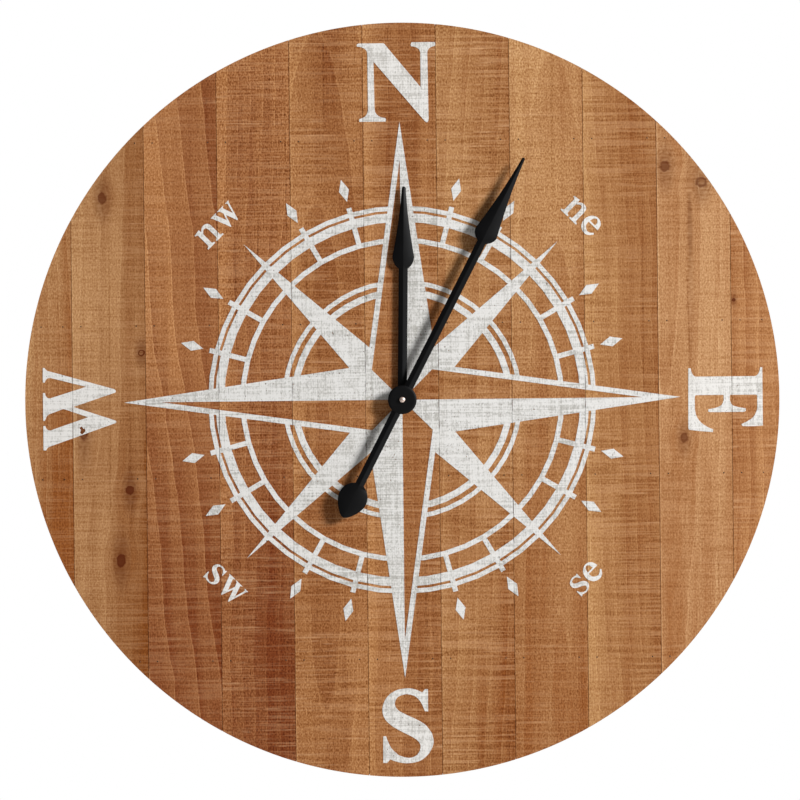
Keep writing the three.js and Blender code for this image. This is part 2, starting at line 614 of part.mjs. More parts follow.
// A pressed blade: its outline under a low roof whose ridge runs along the hand
function ridged(shape, back, lowest, highest) {
  const reach = Math.max(TAIL_WEIGHT_WIDTH, MINUTE_HEAD_WIDTH, HOUR_HEAD_WIDTH) / 2;
  const roof = polygon([
    [-reach, back],
    [-reach, back - HAND_EDGE],
    [0, back - HAND_THICKNESS],
    [reach, back - HAND_EDGE],
    [reach, back],
  ]);
  const prism = new THREE.ExtrudeGeometry(roof, { depth: highest - lowest, bevelEnabled: false });
  prism.translate(0, 0, lowest);
  return common(slab(shape, back - HAND_THICKNESS, back), prism);
}

function addHourHand() {
  const hand = new THREE.Group();
  hand.rotation.y = HOUR_ANGLE * DEGREE;
  dial.add(hand);
  const bladeOutline = bladeShape(HOUR_LENGTH, HOUR_HEAD_LENGTH, HOUR_HEAD_WIDTH, HOUR_TIP_WIDTH);
  const blade = ridged(bladeOutline, HOUR_HAND_BACK, 0, HOUR_LENGTH);
  const hub = rod(HOUR_HUB_RADIUS, HOUR_HAND_FRONT, HOUR_HAND_BACK, FINE_SIDES);
  const bore = rod(HOUR_PIPE_RADIUS + FIT, HOUR_HAND_FRONT - CUT_THROUGH, HOUR_HAND_BACK + CUT_THROUGH);
  addPiece('hour_hand', cut(join(blade, hub), bore), BLACK_METAL, hand);
}

function addMinuteHand() {
  const hand = new THREE.Group();
  hand.rotation.y = MINUTE_ANGLE * DEGREE;
  dial.add(hand);
  const bladeOutline = bladeShape(MINUTE_LENGTH, MINUTE_HEAD_LENGTH, MINUTE_HEAD_WIDTH, MINUTE_TIP_WIDTH);
  const blade = ridged(bladeOutline, MINUTE_HAND_BACK, 0, MINUTE_LENGTH);
  const tail = ridged(tailShape(), MINUTE_HAND_BACK, -TAIL_LENGTH, 0);
  const boss = turned(
    [
      [0, MINUTE_BOSS_FRONT],
      [MINUTE_BOSS_RADIUS - MINUTE_BOSS_BEVEL, MINUTE_BOSS_FRONT],
      [MINUTE_BOSS_RADIUS, MINUTE_HAND_BACK - MINUTE_BOSS_EDGE],
      [MINUTE_BOSS_RADIUS, MINUTE_HAND_BACK],
      [0, MINUTE_HAND_BACK],
    ],
    FINE_SIDES,
  );
  const colletBore = MINUTE_ARBOR_RADIUS + FIT;
  const collet = rod(colletBore + COLLET_WALL, MINUTE_HAND_BACK - MINUTE_BOSS_EDGE, COLLET_BACK);
  const bore = rod(MINUTE_THREAD_RADIUS + FIT, MINUTE_BOSS_FRONT - CUT_THROUGH, MINUTE_HAND_BACK);
  const socket = rod(colletBore, MINUTE_HAND_BACK, COLLET_BACK + CUT_THROUGH);
  addPiece('minute_hand', cut(join(blade, tail, boss, collet), bore, socket), BLACK_METAL, hand);

  const shoulder = HAND_NUT_FRONT + HAND_NUT_CROWN;
  const dome = turned([
    [0, HAND_NUT_FRONT],
    [HAND_NUT_RADIUS / 2, HAND_NUT_FRONT + HAND_NUT_CROWN / 4],
    [HAND_NUT_RADIUS, shoulder],
    [HAND_NUT_RADIUS, MINUTE_BOSS_FRONT],
    [0, MINUTE_BOSS_FRONT],
  ]);
  const thread = rod(MINUTE_THREAD_RADIUS + FIT, shoulder, MINUTE_BOSS_FRONT + CUT_THROUGH);
  addPiece('hand_nut', cut(dome, thread), BRIGHT_METAL, hand);
}

// A toothed disc: tooth 0 points along the given angle in (x, z)
function gearShape(teeth, module, angle) {
  const pitch = (2 * Math.PI) / teeth;
  const root = (teeth / 2 - TOOTH.dedendum) * module;
  const tip = tipRadius(teeth, module);
  const corners = [
    [root, -TOOTH.rootShare],
    [tip, -TOOTH.tipShare],
    [tip, TOOTH.tipShare],
    [root, TOOTH.rootShare],
  ];
  const points = [];
  for (let tooth = 0; tooth < teeth; tooth += 1) {
    for (const [radius, share] of corners) {
      const turn = angle * DEGREE + (tooth + share) * pitch;
      points.push([radius * Math.cos(turn), radius * Math.sin(turn)]);
    }
  }
  return polygon(points);
}

// A driver shows a tooth, and its follower a gap, on the line between their centres
const driver = (teeth, module, direction) => gearShape(teeth, module, direction);
const follower = (teeth, module, direction) => gearShape(teeth, module, direction + 180 + 180 / teeth);

function addMotionWork() {
  const hourWheel = slab(
    follower(HOUR_WHEEL_TEETH, HOUR_MODULE, MINUTE_WHEEL_DIRECTION + 180),
    HOUR_WHEEL_FRONT,
    HOUR_WHEEL_BACK,
  );
  const hourPipe = rod(HOUR_PIPE_RADIUS, HOUR_PIPE_FRONT, HOUR_WHEEL_BACK);
  const hourBore = rod(HOUR_PIPE_BORE, HOUR_PIPE_FRONT - CUT_THROUGH, HOUR_WHEEL_BACK + CUT_THROUGH);
  addPiece('hour_wheel', cut(join(hourWheel, hourPipe), hourBore), WHITE_PLASTIC);

  const minuteWheel = slab(
    follower(MINUTE_WHEEL_TEETH, CANNON_MODULE, MINUTE_WHEEL_DIRECTION),
    MINUTE_WHEEL_FRONT,
    MINUTE_WHEEL_BACK,
  );
  const minutePinion = slab(
    driver(MINUTE_PINION_TEETH, HOUR_MODULE, MINUTE_WHEEL_DIRECTION + 180),
    MINUTE_PINION_FRONT,
    MINUTE_WHEEL_BACK,
  );
  const spindle = rod(MINUTE_WHEEL_ARBOR_RADIUS, PIVOT_FRONT, KNOB_BACK - KNOB_GAP, PIVOT_SIDES);
  addPiece('minute_wheel', moved(join(minuteWheel, minutePinion, spindle), MINUTE_WHEEL_AXIS), WHITE_PLASTIC);
  const knob = tube(MINUTE_WHEEL_ARBOR_RADIUS + FIT, KNOB_RADIUS, KNOB_FRONT, KNOB_BACK, ROUND_SIDES);
  addPiece('setting_knob', moved(knob, MINUTE_WHEEL_AXIS), BLACK_PLASTIC);
}

function addMinuteArbor() {
  const stem = turned([
    [0, HAND_NUT_FRONT + HAND_NUT_CROWN + FIT],
    [MINUTE_THREAD_RADIUS, HAND_NUT_FRONT + HAND_NUT_CROWN + FIT],
    [MINUTE_THREAD_RADIUS, MINUTE_HAND_BACK + FIT],
    [MINUTE_ARBOR_RADIUS, MINUTE_HAND_BACK + FIT],
    [MINUTE_ARBOR_RADIUS, CANNON_BACK],
    [ARBOR_TAIL_RADIUS, CANNON_BACK],
    [ARBOR_TAIL_RADIUS, MINUTE_ARBOR_BACK],
    [0, MINUTE_ARBOR_BACK],
  ]);
  const cannonTeeth = driver(CANNON_TEETH, CANNON_MODULE, MINUTE_WHEEL_DIRECTION);
  const cannon = slab(cannonTeeth, CANNON_FRONT, CANNON_BACK);
  const bore = rod(ARBOR_TAIL_BORE, CANNON_BACK, MINUTE_ARBOR_BACK + CUT_THROUGH, PIVOT_SIDES);
  addPiece('minute_arbor', cut(join(stem, cannon), bore), STEEL);
  const clutch = tube(ARBOR_TAIL_RADIUS + FIT, CLUTCH_RADIUS, CANNON_BACK, CENTRE_WHEEL_FRONT, ROUND_SIDES);
  addPiece('clutch_washer', clutch, STEEL);
  const wheel = slab(
    driver(CENTRE_WHEEL_TEETH, CENTRE_MODULE, THIRD_DIRECTION),
    CENTRE_WHEEL_FRONT,
    CENTRE_WHEEL_BACK,
  );
  const seat = rod(ARBOR_TAIL_RADIUS + FIT, CENTRE_WHEEL_FRONT - CUT_THROUGH, CENTRE_WHEEL_BACK + CUT_THROUGH);
  addPiece('centre_wheel', cut(wheel, seat), WHITE_PLASTIC);
}

function addTrain() {
  const thirdPinion = slab(
    follower(THIRD_PINION_TEETH, CENTRE_MODULE, THIRD_DIRECTION),
    CENTRE_WHEEL_FRONT - PINION_OVERHANG,
    THIRD_WHEEL_FRONT,
  );
  const thirdWheel = slab(
    driver(THIRD_WHEEL_TEETH, THIRD_MODULE, THIRD_DIRECTION + 180),
    THIRD_WHEEL_FRONT,
    THIRD_WHEEL_BACK,
  );
  const thirdArbor = rod(ARBOR_RADIUS, PIVOT_FRONT, PIVOT_BACK, PIVOT_SIDES);
  addPiece('third_wheel', moved(join(thirdPinion, thirdWheel, thirdArbor), THIRD_AXIS), WHITE_PLASTIC);

  const fourthPinion = slab(
    follower(FOURTH_PINION_TEETH, THIRD_MODULE, THIRD_DIRECTION + 180),
    FOURTH_PINION_FRONT,
    FOURTH_WHEEL_FRONT,
  );
  const fourthWheel = slab(
    driver(FOURTH_WHEEL_TEETH, FOURTH_MODULE, INTERMEDIATE_DIRECTION),
    FOURTH_WHEEL_FRONT,
    FOURTH_WHEEL_BACK,
  );
  const fourthArbor = rod(ARBOR_RADIUS, CANNON_BACK + FIT, PIVOT_BACK, PIVOT_SIDES);
  addPiece('fourth_wheel', join(fourthPinion, fourthWheel, fourthArbor), WHITE_PLASTIC);

  const intermediatePinion = slab(
    follower(INTERMEDIATE_PINION_TEETH, FOURTH_MODULE, INTERMEDIATE_DIRECTION),
    INTERMEDIATE_PINION_FRONT,
    INTERMEDIATE_WHEEL_FRONT,
  );
  const intermediateWheel = slab(
    driver(INTERMEDIATE_WHEEL_TEETH, ROTOR_MODULE, ROTOR_DIRECTION),
    INTERMEDIATE_WHEEL_FRONT,
    INTERMEDIATE_WHEEL_BACK,
  );
  const intermediateArbor = rod(ARBOR_RADIUS, PIVOT_FRONT, PIVOT_BACK, PIVOT_SIDES);
  const intermediate = join(intermediatePinion, intermediateWheel, intermediateArbor);
  addPiece('intermediate_wheel', moved(intermediate, INTERMEDIATE_AXIS), WHITE_PLASTIC);

  const magnetFront = INTERMEDIATE_WHEEL_BACK + PINION_OVERHANG;
  const rotorPinion = slab(
    follower(ROTOR_PINION_TEETH, ROTOR_MODULE, ROTOR_DIRECTION),
    ROTOR_PINION_FRONT,
    magnetFront,
  );
  const magnet = rod(MAGNET_RADIUS, magnetFront, STATOR_BACK, ROUND_SIDES);
  const rotorArbor = rod(ARBOR_RADIUS, PIVOT_FRONT, PIVOT_BACK, PIVOT_SIDES);
  addPiece('rotor', moved(join(rotorPinion, magnet, rotorArbor), ROTOR_AXIS), MAGNET_GREY);
}

function addMotor() {
  const top = ROTOR_AXIS.y + STATOR_HALF_HEIGHT;
  const yoke = ROTOR_AXIS.y - STATOR_HALF_HEIGHT;
  const foot = COIL_Z - CORE_HEIGHT;
  const plate = polygon([
    [STATOR_LEFT, yoke],
    [LEG_LEFT, yoke],
    [LEG_LEFT, foot],
    [LEG_LEFT + STATOR_LEG_WIDTH, foot],
    [LEG_LEFT + STATOR_LEG_WIDTH, yoke],
    [STATOR_RIGHT - STATOR_LEG_WIDTH, yoke],
    [STATOR_RIGHT - STATOR_LEG_WIDTH, foot],
    [STATOR_RIGHT, foot],
    [STATOR_RIGHT, top],
    [STATOR_LEFT, top],
  ]);
  const hole = new THREE.Path().absarc(ROTOR_AXIS.x, ROTOR_AXIS.y, STATOR_HOLE_RADIUS, 0, 2 * Math.PI, true);
  plate.holes.push(hole);
  addPiece('stator', slab(plate, STATOR_FRONT, STATOR_BACK, ROUND_SIDES), STEEL);

  const coreBar = rectangle(LEG_LEFT, COIL_Z - CORE_HEIGHT / 2, STATOR_RIGHT, COIL_Z + CORE_HEIGHT / 2);
  addPiece('coil_core', slab(coreBar, CORE_FRONT, STATOR_FRONT), STEEL);

  const winding = new THREE.BoxGeometry(COIL_LENGTH, COIL_DEPTH, COIL_HEIGHT);
  const passage = new THREE.BoxGeometry(
    COIL_LENGTH + 2 * CUT_THROUGH,
    STATOR_THICKNESS + 2 * FIT,
    CORE_HEIGHT + 2 * FIT,
  );
  addPiece('coil', cut(winding, passage).translate(COIL_X, CORE_MID, COIL_Z), COPPER);

  const boardWidth = STATOR_RIGHT - LEG_LEFT;
  const left = COIL_X - boardWidth / 2;
  const sheet = rectangle(left, COIL_Z - BOARD_HEIGHT / 2, left + boardWidth, COIL_Z + BOARD_HEIGHT / 2);
  addPiece('circuit_board', slab(sheet, BRIDGE_BACK, BOARD_REAR), GREEN_BOARD);
  const chip = rod(CHIP_RADIUS, BOARD_REAR, BOARD_REAR + CHIP_THICKNESS);
  addPiece('controller_chip', chip.translate(COIL_X, 0, COIL_Z), BLACK_PLASTIC);
  const can = new THREE.CylinderGeometry(CRYSTAL_RADIUS, CRYSTAL_RADIUS, CRYSTAL_LENGTH, PIVOT_SIDES);
  can.rotateZ(Math.PI / 2);
  addPiece('quartz_crystal', can.translate(COIL_X, BRIDGE_BACK - CRYSTAL_RADIUS, CRYSTAL_Z), STEEL);
}

const ARBORS = [
  { axis: MINUTE_WHEEL_AXIS, radius: MINUTE_WHEEL_ARBOR_RADIUS },
  { axis: THIRD_AXIS, radius: ARBOR_RADIUS },
  { axis: INTERMEDIATE_AXIS, radius: ARBOR_RADIUS },
  { axis: ROTOR_AXIS, radius: ARBOR_RADIUS },
];

function addCase() {
  const bottom = BAY_BOTTOM - CASE_WALL;
  const top = ROOM_TOP + CASE_WALL;
  const half = ROOM_HALF_WIDTH;
  const outline = roundedRectangle(-CASE_HALF_WIDTH, bottom, CASE_HALF_WIDTH, top, CASE_CORNER);
  const inner = half - POST_SIZE;
  const [low, high] = [ROOM_BOTTOM + POST_SIZE, ROOM_TOP - POST_SIZE];
  const roomBetweenPosts = polygon([
    [-inner, ROOM_BOTTOM], [inner, ROOM_BOTTOM], [inner, low], [half, low],
    [half, high], [inner, high], [inner, ROOM_TOP], [-inner, ROOM_TOP],
    [-inner, high], [-half, high], [-half, low], [-inner, low],
  ]);
  const open = COVER_FRONT + CUT_THROUGH;
  const pivots = ARBORS.map(({ axis, radius }) =>
    moved(rod(radius + FIT, PIVOT_FRONT - FIT, CASE_FLOOR + CUT_THROUGH, PIVOT_SIDES), axis),
  );
  const shell = cut(
    slab(outline, CASE_FRONT, COVER_FRONT),
    slab(roomBetweenPosts, CASE_FLOOR, open),
    slab(rectangle(-half, ROOM_BOTTOM, half, ROOM_TOP), BRIDGE_FRONT, open),
    slab(rectangle(-half, BAY_BOTTOM, half, BAY_TOP), CASE_FLOOR, open),
    rod(BUSH_HOLE, CASE_FRONT - CUT_THROUGH, CASE_FLOOR + CUT_THROUGH),
    ...pivots,
  );
  addPiece('movement_case', shell, BLACK_PLASTIC);

  const bridgeHalf = half - FIT;
  const bridge = rectangle(-bridgeHalf, ROOM_BOTTOM + FIT, bridgeHalf, ROOM_TOP - FIT);
  const crystalHalf = CRYSTAL_LENGTH / 2 + FIT;
  const window = rectangle(
    COIL_X - crystalHalf,
    CRYSTAL_Z - CRYSTAL_RADIUS - FIT,
    COIL_X + crystalHalf,
    CRYSTAL_Z + CRYSTAL_RADIUS + FIT,
  );
  const [bridgeCutFront, bridgeCutBack] = [BRIDGE_FRONT - CUT_THROUGH, BRIDGE_BACK + CUT_THROUGH];
  const bridgeHoles = [...ARBORS, { axis: CENTRE, radius: ARBOR_RADIUS }].map(({ axis, radius }) =>
    moved(rod(radius + FIT, bridgeCutFront, bridgeCutBack, PIVOT_SIDES), axis),
  );
  const bridgePlate = slab(bridge, BRIDGE_FRONT, BRIDGE_BACK);
  const crystalSlot = slab(window, bridgeCutFront, bridgeCutBack);
  addPiece('train_bridge', cut(bridgePlate, crystalSlot, ...bridgeHoles), WHITE_PLASTIC);

  const lid = roundedRectangle(-CASE_HALF_WIDTH, BAY_TOP, CASE_HALF_WIDTH, top, CASE_CORNER);
  const knobHole = MINUTE_WHEEL_ARBOR_RADIUS + FIT;
  const { x, y } = MINUTE_WHEEL_AXIS;
  lid.holes.push(new THREE.Path().absarc(x, y, knobHole, 0, 2 * Math.PI, true));
  addPiece('movement_cover', slab(lid, COVER_FRONT, COVER_BACK), BLACK_PLASTIC);
}

function addBattery() {
  const half = BATTERY_TOTAL / 2;
  const shoulder = half - BATTERY_NUB_LENGTH;
  const cell = turned(
    [
      [0, -half],
      [BATTERY_DIAMETER / 2, -half],
      [BATTERY_DIAMETER / 2, shoulder],
      [BATTERY_NUB_RADIUS, shoulder],
      [BATTERY_NUB_RADIUS, half],
      [0, half],
    ],
    ROUND_SIDES,
  );
  cell.rotateZ(-Math.PI / 2);
  addPiece('battery', cell.translate(0, BATTERY_Y, BATTERY_Z), CELL_JACKET);

  // Each contact is a leaf bowed from the end wall towards the battery
  const wall = ROOM_HALF_WIDTH - FIT;
  const crest = half + FIT;
  const [outer, flat] = [CONTACT_SPAN / 2, CONTACT_TOUCH / 2];
  const leaf = [
    [wall, -outer], [crest, -flat], [crest, flat], [wall, outer],
    [wall, outer - 2 * CONTACT_THICKNESS], [crest + CONTACT_THICKNESS, flat - CONTACT_THICKNESS / 2],
    [crest + CONTACT_THICKNESS, CONTACT_THICKNESS / 2 - flat], [wall, 2 * CONTACT_THICKNESS - outer],
  ];
  const [front, back] = [BATTERY_Y - CONTACT_WIDTH / 2, BATTERY_Y + CONTACT_WIDTH / 2];
  const positive = slab(polygon(leaf), front, back);
  addPiece('contact_positive', positive.translate(0, 0, BATTERY_Z), STEEL);
  const negative = slab(polygon(leaf.map(([x, z]) => [-x, z])), front, back);
  addPiece('contact_negative', negative.translate(0, 0, BATTERY_Z), STEEL);
}

function addClamp() {
  addPiece('case_gasket', tube(BUSH_HOLE, GASKET_RADIUS, BOARD_BACK, CASE_FRONT, FINE_SIDES), RUBBER);
  const bore = BUSH_RADIUS - BUSH_WALL;
  const bush = turned([
    [bore, BUSH_FRONT],
    [BUSH_RADIUS, BUSH_FRONT],
    [BUSH_RADIUS, CASE_FLOOR],
    [BUSH_FLANGE_RADIUS, CASE_FLOOR],
    [BUSH_FLANGE_RADIUS, FLANGE_BACK],
    [bore, FLANGE_BACK],
    [bore, BUSH_FRONT],
  ]);
  addPiece('threaded_bush', bush, BRASS);
  addPiece('dial_washer', tube(BUSH_HOLE, WASHER_RADIUS, WASHER_FRONT, DIAL_FRONT, ROUND_SIDES), BRASS);
  const side = 360 / NUT_SIDES;
  const corner = NUT_ACROSS_FLATS / 2 / Math.cos((side / 2) * DEGREE);
  const corners = Array.from({ length: NUT_SIDES }, (_, k) => polar(corner, k * side));
  const hexagon = new THREE.Shape(corners);
  hexagon.holes.push(new THREE.Path().absarc(0, 0, BUSH_HOLE, 0, 2 * Math.PI, true));
  addPiece('hexagon_nut', slab(hexagon, NUT_FRONT, WASHER_FRONT), BRASS);
}

addPlanks();
addBattens();
addHanger();
addRose();
addClamp();
addCase();
addMotor();
addBattery();
addMinuteArbor();
addMotionWork();
addTrain();
addHourHand();
addMinuteHand();

const clock = new THREE.Group();
clock.add(dial);

export default clock;
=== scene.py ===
"""Looks of a round plank wall clock with a painted compass rose.

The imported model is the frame: metres, the dial faces -Y and +Z is up.
"""
import logging
import math
from collections.abc import Iterable, Sequence
from dataclasses import dataclass, field
from enum import Enum

import bmesh
import bpy
from mathutils import Color, Matrix, Vector
from mathutils.geometry import tessellate_polygon


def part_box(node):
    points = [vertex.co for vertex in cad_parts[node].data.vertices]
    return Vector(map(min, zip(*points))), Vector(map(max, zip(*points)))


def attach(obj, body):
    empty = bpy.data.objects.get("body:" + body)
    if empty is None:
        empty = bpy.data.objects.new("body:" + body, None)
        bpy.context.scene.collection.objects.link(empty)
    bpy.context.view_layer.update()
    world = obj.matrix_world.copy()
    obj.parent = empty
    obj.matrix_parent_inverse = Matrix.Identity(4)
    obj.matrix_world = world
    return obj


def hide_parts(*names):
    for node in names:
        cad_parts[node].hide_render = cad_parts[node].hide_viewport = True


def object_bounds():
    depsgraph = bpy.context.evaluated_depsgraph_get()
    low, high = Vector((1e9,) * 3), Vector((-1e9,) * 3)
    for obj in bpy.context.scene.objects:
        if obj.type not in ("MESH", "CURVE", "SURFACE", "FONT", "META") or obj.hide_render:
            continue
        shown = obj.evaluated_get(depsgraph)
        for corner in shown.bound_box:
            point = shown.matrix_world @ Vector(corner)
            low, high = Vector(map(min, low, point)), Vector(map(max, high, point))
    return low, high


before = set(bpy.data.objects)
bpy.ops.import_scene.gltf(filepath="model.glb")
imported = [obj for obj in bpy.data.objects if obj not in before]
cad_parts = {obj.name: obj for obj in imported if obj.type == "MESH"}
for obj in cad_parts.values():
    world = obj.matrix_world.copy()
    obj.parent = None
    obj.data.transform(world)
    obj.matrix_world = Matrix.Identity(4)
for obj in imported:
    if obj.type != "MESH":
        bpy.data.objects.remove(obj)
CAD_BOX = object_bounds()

LOG = logging.getLogger("compass_clock")
MM = 0.001

Point = tuple[float, float]
Triple = tuple[float, float, float]
Rgb = tuple[int, int, int]

DIAL_LOW, DIAL_HIGH = CAD_BOX
DIAL_RADIUS = (DIAL_HIGH.x - DIAL_LOW.x) / 2
DIAL_Z = (DIAL_HIGH.z + DIAL_LOW.z) / 2
DIAL_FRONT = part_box("plank_06")[0].y
PLANK_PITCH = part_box("plank_06")[0].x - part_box("plank_05")[0].x
BATTEN_ROWS = {"top": 0.275, "upper": 0.081, "lower": -0.081, "bottom": -0.275}


def linear(colour: Rgb) -> tuple[float, ...]:
    """Turns a screen colour, 0 to 255, into the linear colour with alpha that nodes take."""
    return (*Color([part / 255 for part in colour]).from_srgb_to_scene_linear(), 1.0)


WHITE = (1.0, 1.0, 1.0, 1.0)
SAW_DUST = linear((208, 162, 120))
KNOT_BROWN = linear((88, 36, 8))
# Powers of red, green and blue, by which darker wood turns redder.
WARMTH = (0.85, 1.25, 1.75)
# How far apart in the noise two neighbouring seeds lie.
SEED_STEP = (3.7, 5.3, 9.1)
# Spreads neighbouring planks' numbers evenly between 0 and 1.
GOLDEN_SHARE = 0.618
# Ranges that most of the noise lies in, from the widest to the narrowest.
NOISE_SPAN = (0.3, 0.7)
CLOUD_SPAN = (0.35, 0.65)
SAW_SPAN = (0.38, 0.62)
# Pale line at a ring's end, waves of the rings, and how many close rings a wide one holds.
RING_LINE = 0.9 * MM
SLOW_WAVE = 22.0 * MM
QUICK_WAVE = 5.0 * MM
CLOSE_RINGS = 5.3
SEAM_HALF = 0.4 * MM
RELIEF = 0.4 * MM
BRUSH_RELIEF = 0.02 * MM
EDGE_SEGMENTS = 2
EDGE_ANGLE = math.radians(40.0)


class SocketKind(Enum):
    """What a node group's socket carries."""

    VALUE = "NodeSocketFloat"
    COLOUR = "NodeSocketColor"
    VECTOR = "NodeSocketVector"


# Sockets that don't carry a plain value.
SOCKET_KINDS = {
    "Coords": SocketKind.VECTOR,
    "Centre": SocketKind.VECTOR,
    "Light": SocketKind.COLOUR,
    "Dark": SocketKind.COLOUR,
    "Color": SocketKind.COLOUR,
}
RING_INPUTS = ("Seed", "Heart", "Depth", "Slant", "Lean", "Ring")
# Inputs of the wood that are named as the fields of SawnWood.
WOOD_INPUTS = RING_INPUTS + ("Figure", "Across", "Along", "Saw", "Lift", "Bow", "Fibre", "Rub", "Rough")


class Effect(Enum):
    """The surface effects that materials share, each a node group."""

    FIBRE = "fibre_streaks"
    SAW = "saw_marks"
    RINGS = "growth_rings"
    KNOT = "knot"
    WOOD = "sawn_wood"
    SEAM = "plank_seam"
    SPECKLE = "fine_speckle"


@dataclass(frozen=True)
class Signal:
    """A value on its way through a shader tree. Arithmetic with it adds Math nodes."""

    bench: "NodeBench"
    socket: bpy.types.NodeSocket

    def __add__(self, other: "Feed") -> "Signal":
        """The sum of both."""
        return self.bench.math("ADD", self, other)

    def __sub__(self, other: "Feed") -> "Signal":
        """This without the other."""
        return self.bench.math("SUBTRACT", self, other)

    def __rsub__(self, other: "Feed") -> "Signal":
        """The other without this."""
        return self.bench.math("SUBTRACT", other, self)

    def __mul__(self, other: "Feed") -> "Signal":
        """The product of both."""
        return self.bench.math("MULTIPLY", self, other)

    def __truediv__(self, other: "Feed") -> "Signal":
        """This divided by the other."""
        return self.bench.math("DIVIDE", self, other)

    def __rtruediv__(self, other: "Feed") -> "Signal":
        """The other divided by this."""
        return self.bench.math("DIVIDE", other, self)

    def __pow__(self, power: "Feed") -> "Signal":
        """This raised to a power."""
        return self.bench.math("POWER", self, power)

    def __abs__(self) -> "Signal":
        """This without its sign."""
        return self.bench.math("ABSOLUTE", self)

    def clamped(self) -> "Signal":
        """Keeps the sum or product that this comes from between 0 and 1."""
        self.socket.node.use_clamp = True
        return self


Feed = Signal | float | tuple[float, ...]


class NodeBench:
    """Adds and links the nodes of one shader tree."""

    def __init__(self, tree: bpy.types.NodeTree) -> None:
        """Takes the tree to work on."""
        self.tree = tree

    def add(self, kind: str, **settings: object) -> bpy.types.Node:
        """Adds one node.

        Args:
            kind: Blender's name of the node's type.
            settings: Properties to set on the node.

        Returns:
            The new node.
        """
        node = self.tree.nodes.new(kind)
        for name, value in settings.items():
            setattr(node, name, value)
        return node

    def fill(self, node: bpy.types.Node, values: dict[int | str, Feed]) -> None:
        """Links signals into a node's inputs, and sets plain numbers and colours there.

        Args:
            node: The node.
            values: What its inputs get, by name or number.
        """
        for key, value in values.items():
            if isinstance(value, Signal):
                self.tree.links.new(value.socket, node.inputs[key])
            else:
                node.inputs[key].default_value = value

    def run(
        self, kind: str, values: dict[int | str, Feed], output: int | str = 0, **settings: object
    ) -> Signal:
        """Adds a node, fills its inputs and reads one of its outputs.

        Args:
            kind: Blender's name of the node's type.
            values: What its inputs get, by name or number.
            output: Name or number of the output.
            settings: Properties to set on the node.

        Returns:
            The output.
        """
        node = self.add(kind, **settings)
        self.fill(node, values)
        return Signal(self, node.outputs[output])

    def math(self, operation: str, *terms: Feed) -> Signal:
        """Adds a Math node, with its inputs in order."""
        return self.run("ShaderNodeMath", dict(enumerate(terms)), operation=operation)

    def vector(self, operation: str, *terms: Feed) -> Signal:
        """Adds a Vector Math node, with its vectors in order."""
        return self.run("ShaderNodeVectorMath", dict(enumerate(terms)), operation=operation)

    def scaled(self, vector: Feed, factor: Feed) -> Signal:
        """Multiplies a vector by one value."""
        return self.run("ShaderNodeVectorMath", {0: vector, "Scale": factor}, operation="SCALE")

    def joined(self, *parts: Feed) -> Signal:
        """Puts x, y and z together as a vector."""
        return self.run("ShaderNodeCombineXYZ", dict(enumerate(parts)))

    def split(self, vector: Feed) -> list[Signal]:
        """Takes a vector apart.

        Args:
            vector: The vector.

        Returns:
            Its x, y and z.
        """
        node = self.add("ShaderNodeSeparateXYZ")
        self.fill(node, {0: vector})
        return [Signal(self, socket) for socket in node.outputs]

    def object_place(self) -> Signal:
        """Where a point of the surface lies, in metres."""
        return self.run("ShaderNodeTexCoord", {}, "Object")

    def noise(self, coords: Feed, stretch: Triple, detail: float = 2.0) -> Signal:
        """Noise of about 0.5, with its own features per metre along x, y and z."""
        spot = self.vector("MULTIPLY", coords, stretch)
        return self.run("ShaderNodeTexNoise", {"Vector": spot, "Scale": 1.0, "Detail": detail})

    def streaks(self, coords: Feed, across: float, along: float, detail: float = 2.0) -> Signal:
        """Noise of about 0.5, with its own features per metre across and along the grain."""
        return self.noise(coords, (across, across, along), detail)

    def remap(self, value: Feed, low: Feed, high: Feed, to_low: float = 0.0, to_high: float = 1.0) -> Signal:
        """Maps low..high softly to to_low..to_high, and holds the result there."""
        terms = (value, low, high, to_low, to_high)
        return self.run("ShaderNodeMapRange", dict(enumerate(terms)), interpolation_type="SMOOTHSTEP")

    def ramp(self, factor: Feed, stops: Sequence[Point]) -> Signal:
        """Adds a grey ramp.

        Args:
            factor: Where on the ramp to read, 0 to 1.
            stops: Pairs of place and grey level.

        Returns:
            The grey level.
        """
        node = self.add("ShaderNodeValToRGB")
        elements = node.color_ramp.elements
        while len(elements) < len(stops):
            elements.new(0.5)
        for element, (place, level) in zip(elements, stops):
            element.position = place
            element.color = (level, level, level, 1.0)
        self.fill(node, {0: factor})
        return Signal(self, node.outputs[0])

    def blend(self, factor: Feed, first: Feed, second: Feed) -> Signal:
        """Mixes two colours, the first where factor is 0 and the second where it is 1."""
        return self.run("ShaderNodeMix", {0: factor, 6: first, 7: second}, 2, data_type="RGBA")

    def bump(self, height: Feed, strength: float, distance: float) -> Signal:
        """The normal bent by a height, where a height of 1 is the distance in metres."""
        return self.run("ShaderNodeBump", {"Strength": strength, "Distance": distance, "Height": height})

    def place(self, effect: Effect, **values: Feed) -> dict[str, Signal]:
        """Places a shared effect.

        Args:
            effect: The effect.
            values: What its inputs get, by name.

        Returns:
            Its outputs by name.
        """
        node = self.add("ShaderNodeGroup", node_tree=SHELF.get(effect))
        self.fill(node, values)
        return {socket.name: Signal(self, socket) for socket in node.outputs}


